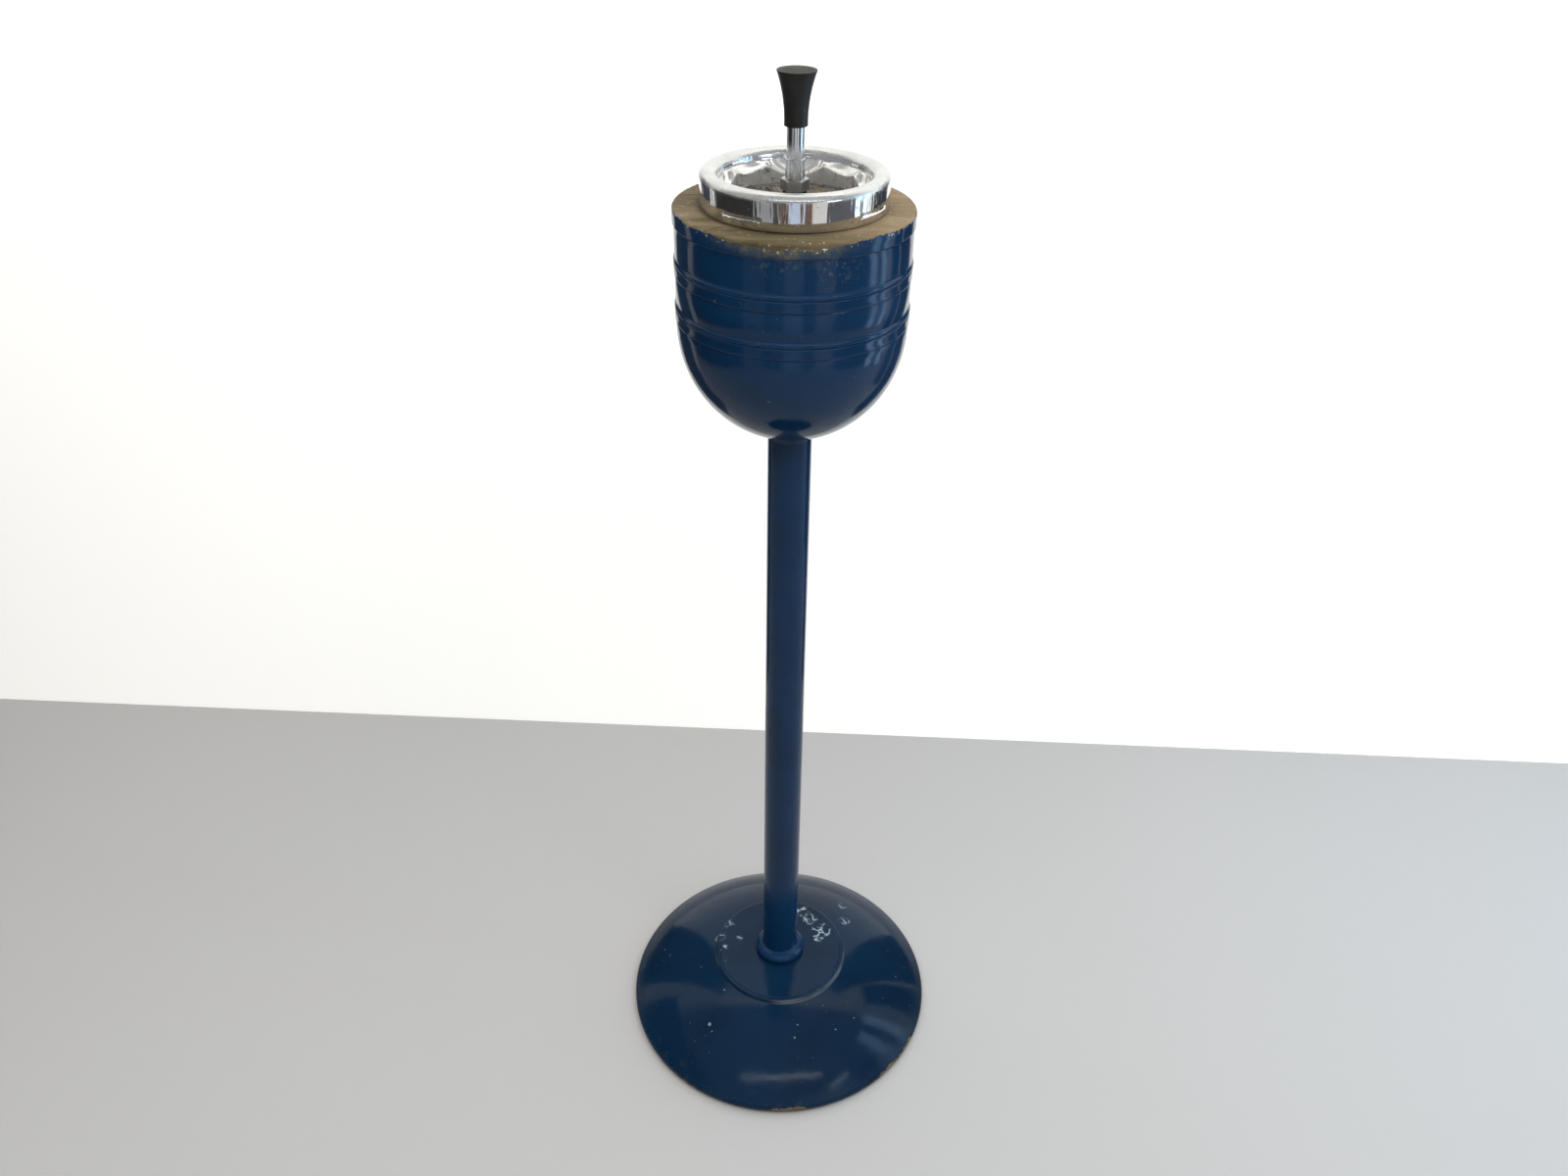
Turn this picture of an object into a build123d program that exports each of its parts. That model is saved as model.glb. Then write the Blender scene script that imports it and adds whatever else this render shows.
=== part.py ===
from build123d import *
import math
import os

# Floor-standing push-down spinning ashtray: a turned and painted wooden stand, a steel ash
# drum in its bowl, and a chromed lid whose plate drops and spins when the knob is pressed.
# Millimetres, +Z up, origin on the floor at the centre of the base.

# ---- Wooden stand ----
BASE_R = 113.4
BASE_UNDERSIDE_Z = 0.8
BASE_TOP_Z = 46.4
BASE_STEP_R = 47.6
BASE_RIM_Z = 8.2
FELT_INNER_R = 22.0
FELT_OUTER_R = 104.0
FELT_TOP_Z = 1.6
COLUMN_R = 12.8
TENON_R = 9.5
TENON_LENGTH = 25.2
PILOT_DEPTH = 40.0
BOWL_BOTTOM_Z = 494.6
BOWL_TOP_Z = 622.0
BOWL_R = 62.9
BAND_R = 63.6
BAND_HEIGHT = 7.8
BOWL_ROUND_Z = 558.5
BOWL_ROUND_DEPTH = 65.8
BORE_R = 46.0
BORE_FLOOR_Z = 562.0
UPPER_TENON_LENGTH = 32.0
BEAD_TOPS_Z = (595.7, 571.0)
BEAD_HEIGHT = 9.2

# ---- Screws that hold the stand together ----
SCREW_R = 3.0
SCREW_LENGTH = 43.0
SCREW_HEAD_R = 5.8
SCREW_HEAD_HEIGHT = 4.0
SCREW_CLEARANCE_R = 3.2
WASHER_R = 11.0
WASHER_THICKNESS = 1.6
WASHER_POCKET_R = 12.0
BASE_WEB = 4.0
BOWL_POCKET_DEPTH = 6.4

# ---- Sheet-metal drum and lid ----
SHEET = 0.7
DRUM_R = 45.4
DRUM_TOP_Z = 631.4
DRUM_CURL_R = 1.1
RIM_R = 49.2
RIM_FOOT_R = 48.8
RIM_SHOULDER_Z = 636.0
RIM_CROWN_R = 45.0
RIM_CROWN_Z = 640.0
RIM_LIP_R = 39.6
RIM_LIP_Z = 636.2
RIM_WALL_R = 39.0
RIM_WALL_BOTTOM_Z = 623.2
DENT_Z = 627.0
DENT_COUNT = 4
DENT_ARC = 24.0
DENT_FIRST_ANGLE = -33.0
DENT_R = 1.0

# ---- Wavy cigarette rest inside the rim ----
REST_INNER_R = 33.6
REST_OUTER_R = 38.9
REST_BOTTOM_Z = 622.8
REST_EDGE_Z = 631.0
REST_TOP_Z = 634.6
REST_SHEET = 0.9
TROUGH_SLOPE = 16.0
WIDE_TROUGH = (627.0, 17.9)
NARROW_TROUGH = (630.5, 22.3)

# ---- Crossbar, spindle and spring under the plate ----
BAR_ANGLE = 45.0
BAR_HALF_SPAN = 37.5
BAR_WIDTH = 12.0
BAR_THICKNESS = 1.5
BAR_BOTTOM_Z = 584.0
BAR_LEG_TOP_Z = 628.8
RIVET_R = 1.6
RIVET_HEAD_R = 2.6
RIVET_HEAD = 1.0
RIVET_Z = 626.0
SPINDLE_SQUARE = 3.2
SPINDLE_LEAD = 36.0
SPINDLE_TOP_Z = 617.7
SPINDLE_TAIL_R = 2.0
SPINDLE_COLLAR_R = 3.2
SPINDLE_COLLAR_HEIGHT = 1.5
STOP_R = 3.2
STOP_THICKNESS = 0.8
SPRING_R = 5.6
SPRING_WIRE_R = 0.55
SPRING_TURNS = 6.0

# ---- Plunger, hub and plate ----
STEM_R = 4.55
STEM_BORE_R = 3.6
STEM_TOP_Z = 676.0
STEM_FLANGE_R = 6.0
STEM_FLANGE_Z = 618.0
STEM_FLANGE = 0.9
KNOB_BOTTOM_Z = 660.8
KNOB_EDGE_Z = 687.2
KNOB_TOP_Z = 688.0
KNOB_WAIST_R = 6.05
KNOB_R = 10.15
HUB_BORE_R = 4.6
HUB_R = 5.0
HUB_TOP_Z = 645.2
HUB_FLANGE_R = 9.0
HUB_FLANGE_Z = 620.6
HOUSING_R = 7.6
CHAMBER_R = 6.4
CHAMBER_TOP_Z = 619.0
HOUSING_BOTTOM_Z = 612.6
CAP_THICKNESS = 1.6
CAP_HOLE_R = 2.9
PLATE_R = 33.0
PLATE_BOTTOM_Z = 622.6
PLATE_THICKNESS = 0.9
NECK_R = 6.2
NUT_BOTTOM_Z = 629.5
NUT_TOP_Z = 635.0
NUT_FLATS = 13.0
DRIVE_NUT_R = 6.0
DRIVE_NUT_Z = 614.6
DRIVE_NUT_THICKNESS = 2.8
SLOT_SQUARE = 3.5
THRUST_WASHER_R = 7.0
THRUST_WASHER_THICKNESS = 0.8

os.makedirs("parts", exist_ok=True)

bar_top_z = BAR_BOTTOM_Z + BAR_THICKNESS
twist_bottom_z = bar_top_z + SPINDLE_COLLAR_HEIGHT
plate_top_z = PLATE_BOTTOM_Z + PLATE_THICKNESS
thrust_top_z = HOUSING_BOTTOM_Z - 0.1
thrust_bottom_z = thrust_top_z - THRUST_WASHER_THICKNESS
tenon_bottom_z = BASE_TOP_Z - TENON_LENGTH
base_seat_z = tenon_bottom_z - BASE_WEB
upper_tenon_z = BOWL_BOTTOM_Z + UPPER_TENON_LENGTH
bowl_seat_z = BORE_FLOOR_Z - BOWL_POCKET_DEPTH


def ring(inner_r, outer_r, bottom_z, height):
    """A flat ring about the Z axis, such as a washer or a collar."""
    with BuildPart() as flat_ring:
        with BuildSketch(Plane.XY.offset(bottom_z)):
            Circle(outer_r)
            Circle(inner_r, mode=Mode.SUBTRACT)
        extrude(amount=height)
    return flat_ring


def hex_screw(seat_z, upward):
    """A hexagon-headed wood screw on the Z axis, with its head under seat_z if it points up."""
    sign = 1 if upward else -1
    section = Plane(origin=(0, 0, seat_z), x_dir=(1, 0, 0), z_dir=(0, -sign, 0))
    tip = SCREW_LENGTH - 5.0
    with BuildPart() as screw:
        with BuildSketch(Plane.XY.offset(seat_z)):
            RegularPolygon(SCREW_HEAD_R, side_count=6)
        extrude(amount=-sign * SCREW_HEAD_HEIGHT)
        with BuildSketch(section):
            with BuildLine():
                Polyline((0, 0), (SCREW_R, 0), (SCREW_R, tip), (0, SCREW_LENGTH), (0, 0))
            make_face()
        revolve(axis=Axis.Z)
    return screw


def twisted_square(side, bottom_z, top_z):
    """A square bar twisted about Z with the spindle's lead, so a slot cut with it fits the spindle."""
    steps = math.ceil((top_z - bottom_z) / 1.5)
    with BuildPart() as bar:
        for step in range(steps + 1):
            z = bottom_z + (top_z - bottom_z) * step / steps
            turn = 2 * math.pi * (z - twist_bottom_z) / SPINDLE_LEAD
            direction = (math.cos(turn), math.sin(turn), 0)
            with BuildSketch(Plane(origin=(0, 0, z), x_dir=direction, z_dir=(0, 0, 1))):
                Rectangle(side, side)
        loft()
    return bar


def radial_plane(angle, radius, z):
    """A plane that faces outward from the Z axis, so an extrusion from it runs along the radius."""
    c = math.cos(math.radians(angle))
    s = math.sin(math.radians(angle))
    return Plane(origin=(radius * c, radius * s, z), x_dir=(-s, c, 0), z_dir=(c, s, 0))


# ---- Base: a turned dome with a rounded rim and a beaded step round a raised centre ----
bead_foot = (BASE_STEP_R + 1.8, BASE_TOP_Z - 4.4)
bead_top = (BASE_STEP_R, BASE_TOP_Z - 1.8)
bead_inside = (BASE_STEP_R - 1.4, BASE_TOP_Z - 1.5)
with BuildPart() as base_disc:
    with BuildSketch(Plane.XZ):
        with BuildLine():
            Polyline(
                (TENON_R, BASE_TOP_Z),
                (TENON_R, tenon_bottom_z),
                (SCREW_CLEARANCE_R, tenon_bottom_z),
                (SCREW_CLEARANCE_R, base_seat_z),
                (WASHER_POCKET_R, base_seat_z),
                (WASHER_POCKET_R, BASE_UNDERSIDE_Z),
                (FELT_INNER_R, BASE_UNDERSIDE_Z),
                (FELT_INNER_R, FELT_TOP_Z),
                (FELT_OUTER_R, FELT_TOP_Z),
                (FELT_OUTER_R, BASE_UNDERSIDE_Z),
                (BASE_R - 3.0, BASE_UNDERSIDE_Z),
            )
            ThreePointArc((BASE_R - 3.0, BASE_UNDERSIDE_Z), (BASE_R, 4.2), (BASE_R - 1.7, BASE_RIM_Z))
            ThreePointArc((BASE_R - 1.7, BASE_RIM_Z), (83.2, 28.9), bead_foot)
            ThreePointArc(bead_foot, (BASE_STEP_R + 1.6, BASE_TOP_Z - 2.6), bead_top)
            ThreePointArc(bead_top, (BASE_STEP_R - 0.8, BASE_TOP_Z - 1.9), bead_inside)
            ThreePointArc(bead_inside, (33.0, BASE_TOP_Z - 0.5), (19.0, BASE_TOP_Z))
            Line((19.0, BASE_TOP_Z), (TENON_R, BASE_TOP_Z))
        make_face()
    revolve(axis=Axis.Z)
base_disc.part.label = "base_disc"
export_step(base_disc.part, "parts/base_disc.step")

base_felt = ring(FELT_INNER_R + 0.2, FELT_OUTER_R - 0.2, 0.0, FELT_TOP_Z)
base_felt.part.label = "base_felt"
export_step(base_felt.part, "parts/base_felt.step")

base_washer = ring(SCREW_CLEARANCE_R, WASHER_R, base_seat_z - WASHER_THICKNESS, WASHER_THICKNESS)
base_washer.part.label = "base_washer"
export_step(base_washer.part, "parts/base_washer.step")

base_screw = hex_screw(base_seat_z - WASHER_THICKNESS, upward=True)
base_screw.part.label = "base_screw"
export_step(base_screw.part, "parts/base_screw.step")

# ---- Column: a dowel with a shouldered tenon and a pilot hole at each end ----
with BuildPart() as column:
    with BuildSketch(Plane.XZ):
        with BuildLine():
            Polyline(
                (SCREW_R, tenon_bottom_z),
                (TENON_R, tenon_bottom_z),
                (TENON_R, BASE_TOP_Z),
                (COLUMN_R, BASE_TOP_Z),
                (COLUMN_R, BOWL_BOTTOM_Z),
                (TENON_R, BOWL_BOTTOM_Z),
                (TENON_R, upper_tenon_z),
                (SCREW_R, upper_tenon_z),
                (SCREW_R, upper_tenon_z - PILOT_DEPTH),
                (0, upper_tenon_z - PILOT_DEPTH),
                (0, tenon_bottom_z + PILOT_DEPTH),
                (SCREW_R, tenon_bottom_z + PILOT_DEPTH),
                (SCREW_R, tenon_bottom_z),
            )
        make_face()
    revolve(axis=Axis.Z)
column.part.label = "column"
export_step(column.part, "parts/column.step")

# ---- Foot collar: a half-round turned ring where the column enters the base ----
with BuildPart() as foot_collar:
    with BuildSketch(Plane.XZ):
        with BuildLine():
            Line((COLUMN_R, BASE_TOP_Z), (17.0, BASE_TOP_Z))
            ThreePointArc((17.0, BASE_TOP_Z), (18.4, BASE_TOP_Z + 3.8), (14.8, BASE_TOP_Z + 8.0))
            Line((14.8, BASE_TOP_Z + 8.0), (COLUMN_R, BASE_TOP_Z + 8.6))
            Line((COLUMN_R, BASE_TOP_Z + 8.6), (COLUMN_R, BASE_TOP_Z))
        make_face()
    revolve(axis=Axis.Z)
foot_collar.part.label = "foot_collar"
export_step(foot_collar.part, "parts/foot_collar.step")

# ---- Top collar: a small flared ring that covers the joint under the bowl ----
with BuildPart() as top_collar:
    with BuildSketch(Plane.XZ):
        with BuildLine():
            Polyline(
                (COLUMN_R, BOWL_BOTTOM_Z - 5.0),
                (13.2, BOWL_BOTTOM_Z - 5.0),
                (14.3, BOWL_BOTTOM_Z - 1.2),
                (14.3, BOWL_BOTTOM_Z),
                (COLUMN_R, BOWL_BOTTOM_Z),
                (COLUMN_R, BOWL_BOTTOM_Z - 5.0),
            )
        make_face()
    revolve(axis=Axis.Z)
top_collar.part.label = "top_collar"
export_step(top_collar.part, "parts/top_collar.step")

# ---- Bowl: turned cup with two beads, a proud top band and a bore for the ash drum ----
bowl_foot_angle = -math.asin((BOWL_ROUND_Z - BOWL_BOTTOM_Z) / BOWL_ROUND_DEPTH)
bowl_foot_slope = BOWL_ROUND_DEPTH / BOWL_R / math.tan(-bowl_foot_angle)
bowl_round_angles = [bowl_foot_angle * share for share in (1.0, 0.8, 0.6, 0.4, 0.2, 0.0)]
bowl_round = [
    (BOWL_R * math.cos(angle), BOWL_ROUND_Z + BOWL_ROUND_DEPTH * math.sin(angle))
    for angle in bowl_round_angles
]
band_bottom_z = BOWL_TOP_Z - BAND_HEIGHT
with BuildPart() as bowl:
    with BuildSketch(Plane.XZ):
        with BuildLine():
            Spline(*bowl_round, tangents=((1, bowl_foot_slope), (0, 1)))
            Polyline(
                (BOWL_R, BOWL_ROUND_Z),
                (BOWL_R, band_bottom_z - 0.8),
                (BAND_R, band_bottom_z),
                (BAND_R, BOWL_TOP_Z - 1.4),
            )
            ThreePointArc(
                (BAND_R, BOWL_TOP_Z - 1.4), (BAND_R - 0.5, BOWL_TOP_Z - 0.4), (BAND_R - 1.6, BOWL_TOP_Z)
            )
            Polyline(
                (BAND_R - 1.6, BOWL_TOP_Z),
                (BORE_R + 0.6, BOWL_TOP_Z),
                (BORE_R, BOWL_TOP_Z - 0.6),
                (BORE_R, BORE_FLOOR_Z),
                (WASHER_POCKET_R, BORE_FLOOR_Z),
                (WASHER_POCKET_R, bowl_seat_z),
                (SCREW_CLEARANCE_R, bowl_seat_z),
                (SCREW_CLEARANCE_R, upper_tenon_z),
                (TENON_R, upper_tenon_z),
                (TENON_R, BOWL_BOTTOM_Z),
                bowl_round[0],
            )
        make_face()
    revolve(axis=Axis.Z)
    for bead_top_z in BEAD_TOPS_Z:
        with BuildSketch(Plane.XZ):
            with BuildLine():
                Polyline(
                    (BOWL_R - 0.1, bead_top_z),
                    (BOWL_R - 1.0, bead_top_z),
                    (BOWL_R - 1.0, bead_top_z - BEAD_HEIGHT),
                    (BOWL_R - 0.1, bead_top_z - BEAD_HEIGHT),
                    (BOWL_R + 0.4, bead_top_z - BEAD_HEIGHT + 0.7),
                    (BOWL_R + 0.6, bead_top_z - 3.6),
                    (BOWL_R + 0.2, bead_top_z - 3.0),
                )
                ThreePointArc(
                    (BOWL_R + 0.2, bead_top_z - 3.0),
                    (BOWL_R + 0.8, bead_top_z - 1.5),
                    (BOWL_R - 0.1, bead_top_z),
                )
            make_face()
        revolve(axis=Axis.Z)
bowl.part.label = "bowl"
export_step(bowl.part, "parts/bowl.step")

bowl_washer = ring(SCREW_CLEARANCE_R, WASHER_R, bowl_seat_z, WASHER_THICKNESS)
bowl_washer.part.label = "bowl_washer"
export_step(bowl_washer.part, "parts/bowl_washer.step")

bowl_screw = hex_screw(bowl_seat_z + WASHER_THICKNESS, upward=False)
bowl_screw.part.label = "bowl_screw"
export_step(bowl_screw.part, "parts/bowl_screw.step")

# ---- Ash drum: a deep drawn cup with a curled top edge ----
with BuildPart() as ash_drum:
    with BuildSketch(Plane.XZ):
        with BuildLine():
            Line((0, BORE_FLOOR_Z), (DRUM_R - 2.4, BORE_FLOOR_Z))
            RadiusArc((DRUM_R - 2.4, BORE_FLOOR_Z), (DRUM_R, BORE_FLOOR_Z + 2.4), -2.4)
            Line((DRUM_R, BORE_FLOOR_Z + 2.4), (DRUM_R, DRUM_TOP_Z))
            Line((DRUM_R, DRUM_TOP_Z), (DRUM_R - SHEET, DRUM_TOP_Z))
            Line((DRUM_R - SHEET, DRUM_TOP_Z), (DRUM_R - SHEET, BORE_FLOOR_Z + 2.4))
            RadiusArc(
                (DRUM_R - SHEET, BORE_FLOOR_Z + 2.4), (DRUM_R - 2.4, BORE_FLOOR_Z + SHEET), 2.4 - SHEET
            )
            Line((DRUM_R - 2.4, BORE_FLOOR_Z + SHEET), (0, BORE_FLOOR_Z + SHEET))
            Line((0, BORE_FLOOR_Z + SHEET), (0, BORE_FLOOR_Z))
        make_face()
        with Locations((DRUM_R + 0.4, DRUM_TOP_Z)):
            Circle(DRUM_CURL_R)
    revolve(axis=Axis.Z)
ash_drum.part.label = "ash_drum"
export_step(ash_drum.part, "parts/ash_drum.step")

# ---- Lid rim: one pressing with a tall skirt, a broad rounded crown and an inner wall ----
with BuildPart() as lid_rim:
    with BuildSketch(Plane.XZ):
        with BuildLine():
            Line((RIM_FOOT_R, BOWL_TOP_Z), (RIM_R, RIM_SHOULDER_Z))
            for layer in (0.0, SHEET):
                for corner_r, corner_z, start_angle in (
                    (RIM_R, RIM_SHOULDER_Z, 0.0),
                    (RIM_LIP_R, RIM_LIP_Z, 90.0),
                ):
                    EllipticalCenterArc(
                        (RIM_CROWN_R, corner_z),
                        abs(corner_r - RIM_CROWN_R) - layer,
                        RIM_CROWN_Z - corner_z - layer,
                        start_angle=start_angle,
                    )
            Line((RIM_LIP_R, RIM_LIP_Z), (RIM_WALL_R, RIM_WALL_BOTTOM_Z))
            Line((RIM_WALL_R, RIM_WALL_BOTTOM_Z), (RIM_WALL_R + SHEET, RIM_WALL_BOTTOM_Z))
            Line((RIM_WALL_R + SHEET, RIM_WALL_BOTTOM_Z), (RIM_LIP_R + SHEET, RIM_LIP_Z))
            Line((RIM_R - SHEET, RIM_SHOULDER_Z), (RIM_FOOT_R - SHEET, BOWL_TOP_Z))
            Line((RIM_FOOT_R - SHEET, BOWL_TOP_Z), (RIM_FOOT_R, BOWL_TOP_Z))
        make_face()
    revolve(axis=Axis.Z)
    for dent in range(DENT_COUNT):
        # Each dent is a short horizontal groove pressed inward, behind the drum's curled edge.
        turn = DENT_FIRST_ANGLE + dent * 360.0 / DENT_COUNT - DENT_ARC / 2 - 90.0
        c = math.cos(math.radians(turn))
        s = math.sin(math.radians(turn))
        start = Plane(origin=(0, 0, 0), x_dir=(c, s, 0), z_dir=(s, -c, 0))
        with BuildSketch(start):
            with Locations((RIM_R - 0.4, DENT_Z)):
                Circle(DENT_R + SHEET - 0.2)
            with Locations((RIM_R + 1.6, DENT_Z)):
                Rectangle(4.0, 6.0, mode=Mode.SUBTRACT)
        revolve(axis=Axis.Z, revolution_arc=DENT_ARC)
        with BuildSketch(start):
            with Locations((RIM_R - 0.1, DENT_Z)):
                Circle(DENT_R)
        revolve(axis=Axis.Z, revolution_arc=DENT_ARC, mode=Mode.SUBTRACT)
    for side in (0, 180):
        with BuildSketch(radial_plane(BAR_ANGLE + side, BAR_HALF_SPAN, RIVET_Z)):
            Circle(RIVET_R)
        extrude(amount=3.0, mode=Mode.SUBTRACT)
lid_rim.part.label = "lid_rim"
export_step(lid_rim.part, "parts/lid_rim.step")


def rest_form(inset):
    """The wavy ring's outer form, or the hollow under it when inset is the sheet's thickness."""
    top = inset * 1.1
    with BuildPart() as form:
        with BuildSketch(Plane.XZ):
            with BuildLine():
                Polyline(
                    (REST_INNER_R + inset, REST_BOTTOM_Z),
                    (REST_INNER_R + inset, REST_EDGE_Z - top),
                    (REST_INNER_R + 2.4 + inset / 2, REST_TOP_Z - top),
                    (REST_OUTER_R - inset, REST_TOP_Z - top),
                    (REST_OUTER_R - inset, REST_BOTTOM_Z),
                    (REST_INNER_R + inset, REST_BOTTOM_Z),
                )
            make_face()
        revolve(axis=Axis.Z)
        for index in range(8):
            lip_z, trough_r = NARROW_TROUGH if index % 2 else WIDE_TROUGH
            angle = math.radians(45.0 * index)
            slope = math.radians(TROUGH_SLOPE)
            level = math.cos(slope)
            outward = (math.cos(angle) * level, math.sin(angle) * level, math.sin(slope))
            along = (-math.sin(angle), math.cos(angle), 0)
            lip = (REST_INNER_R * math.cos(angle), REST_INNER_R * math.sin(angle), lip_z - top)
            section = Plane(origin=lip, x_dir=along, z_dir=outward)
            with BuildSketch(section):
                with Locations((0, trough_r)):
                    Circle(trough_r + top)
            extrude(amount=8.0, both=True, mode=Mode.SUBTRACT)
    return form


# ---- Cigarette rest: a wavy pressed ring of eight troughs with horns between them ----
rest_outside = rest_form(0.0)
rest_inside = rest_form(REST_SHEET)
with BuildPart() as cigarette_rest:
    add(rest_outside.part)
    add(rest_inside.part, mode=Mode.SUBTRACT)
    for side in (0, 180):
        with BuildSketch(radial_plane(BAR_ANGLE + side, BAR_HALF_SPAN, RIVET_Z)):
            Circle(RIVET_R)
        extrude(amount=3.0, mode=Mode.SUBTRACT)
cigarette_rest.part.label = "cigarette_rest"
export_step(cigarette_rest.part, "parts/cigarette_rest.step")

# ---- Crossbar: a U-shaped strap riveted inside the lid, which carries the spindle ----
bar_c = math.cos(math.radians(BAR_ANGLE))
bar_s = math.sin(math.radians(BAR_ANGLE))
bar_plane = Plane(origin=(0, 0, 0), x_dir=(bar_c, bar_s, 0), z_dir=(bar_s, -bar_c, 0))
bar_inner_span = BAR_HALF_SPAN - BAR_THICKNESS
with BuildPart() as crossbar:
    with BuildSketch(bar_plane):
        with BuildLine():
            Polyline(
                (-bar_inner_span, BAR_LEG_TOP_Z),
                (-BAR_HALF_SPAN, BAR_LEG_TOP_Z),
                (-BAR_HALF_SPAN, BAR_BOTTOM_Z + 3.0),
                (-BAR_HALF_SPAN + 3.0, BAR_BOTTOM_Z),
                (BAR_HALF_SPAN - 3.0, BAR_BOTTOM_Z),
                (BAR_HALF_SPAN, BAR_BOTTOM_Z + 3.0),
                (BAR_HALF_SPAN, BAR_LEG_TOP_Z),
                (bar_inner_span, BAR_LEG_TOP_Z),
                (bar_inner_span, bar_top_z + 2.1),
                (bar_inner_span - 2.1, bar_top_z),
                (-bar_inner_span + 2.1, bar_top_z),
                (-bar_inner_span, bar_top_z + 2.1),
                (-bar_inner_span, BAR_LEG_TOP_Z),
            )
        make_face()
    extrude(amount=BAR_WIDTH / 2, both=True)
    with BuildSketch(Plane.XY.offset(BAR_BOTTOM_Z)):
        Circle(SPINDLE_TAIL_R)
    extrude(amount=BAR_THICKNESS, mode=Mode.SUBTRACT)
    for side in (0, 180):
        with BuildSketch(radial_plane(BAR_ANGLE + side, bar_inner_span - 1.0, RIVET_Z)):
            Circle(RIVET_R)
        extrude(amount=4.0, mode=Mode.SUBTRACT)
crossbar.part.label = "crossbar"
export_step(crossbar.part, "parts/crossbar.step")

# ---- Crossbar rivets: through the strap's legs, the rest and the rim's inner wall ----
rivet_outer_r = RIM_WALL_R + SHEET + 0.35
with BuildPart() as crossbar_rivets:
    for side in (0, 180):
        for radius, size, length in (
            (bar_inner_span - RIVET_HEAD, RIVET_HEAD_R, RIVET_HEAD),
            (bar_inner_span, RIVET_R, rivet_outer_r - bar_inner_span),
            (rivet_outer_r, RIVET_HEAD_R, RIVET_HEAD),
        ):
            with BuildSketch(radial_plane(BAR_ANGLE + side, radius, RIVET_Z)):
                Circle(size)
            extrude(amount=length)
crossbar_rivets.part.label = "crossbar_rivets"
export_step(crossbar_rivets.part, "parts/crossbar_rivets.step")

# ---- Drive spindle: a twisted square bar fixed upright in the crossbar ----
spindle_twist = twisted_square(SPINDLE_SQUARE, twist_bottom_z, SPINDLE_TOP_Z)
spindle_tail_z = BAR_BOTTOM_Z - 4.4
with BuildPart() as drive_spindle:
    add(spindle_twist.part)
    for bottom_z, top_z, radius in (
        (spindle_tail_z, bar_top_z, SPINDLE_TAIL_R),
        (bar_top_z, twist_bottom_z, SPINDLE_COLLAR_R),
        (SPINDLE_TOP_Z, SPINDLE_TOP_Z + STOP_THICKNESS, 1.3),
        (SPINDLE_TOP_Z + STOP_THICKNESS, SPINDLE_TOP_Z + STOP_THICKNESS + 0.7, 2.2),
    ):
        with BuildSketch(Plane.XY.offset(bottom_z)):
            Circle(radius)
        extrude(amount=top_z - bottom_z)
drive_spindle.part.label = "drive_spindle"
export_step(drive_spindle.part, "parts/drive_spindle.step")

spindle_stop = ring(1.3, STOP_R, SPINDLE_TOP_Z, STOP_THICKNESS)
spindle_stop.part.label = "spindle_stop"
export_step(spindle_stop.part, "parts/spindle_stop.step")

with BuildPart() as spindle_nut:
    with BuildSketch(Plane.XY.offset(BAR_BOTTOM_Z - 3.2)):
        RegularPolygon(4.0, side_count=6)
        Circle(SPINDLE_TAIL_R, mode=Mode.SUBTRACT)
    extrude(amount=3.2)
spindle_nut.part.label = "spindle_nut"
export_step(spindle_nut.part, "parts/spindle_nut.step")

# ---- Return spring: a compression spring round the spindle, from the crossbar to the hub ----
spring_bottom_z = bar_top_z + SPRING_WIRE_R
spring_height = thrust_bottom_z - bar_top_z - 2 * SPRING_WIRE_R
with BuildPart() as return_spring:
    with BuildLine():
        coil = Helix(
            pitch=spring_height / SPRING_TURNS,
            height=spring_height,
            radius=SPRING_R,
            center=(0, 0, spring_bottom_z),
        )
    with BuildSketch(Plane(origin=coil @ 0, z_dir=coil % 0)):
        Circle(SPRING_WIRE_R)
    sweep(path=coil, is_frenet=True)
return_spring.part.label = "return_spring"
export_step(return_spring.part, "parts/return_spring.step")

# ---- Stem: the plunger's tube, flanged at its lower end to hold up the hub ----
with BuildPart() as stem:
    with BuildSketch(Plane.XZ):
        with BuildLine():
            Polyline(
                (STEM_BORE_R, STEM_FLANGE_Z),
                (STEM_FLANGE_R, STEM_FLANGE_Z),
                (STEM_FLANGE_R, STEM_FLANGE_Z + STEM_FLANGE),
                (STEM_R, STEM_FLANGE_Z + STEM_FLANGE),
                (STEM_R, STEM_TOP_Z),
                (STEM_BORE_R, STEM_TOP_Z),
                (STEM_BORE_R, STEM_FLANGE_Z),
            )
        make_face()
    revolve(axis=Axis.Z)
stem.part.label = "stem"
export_step(stem.part, "parts/stem.step")

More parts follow.
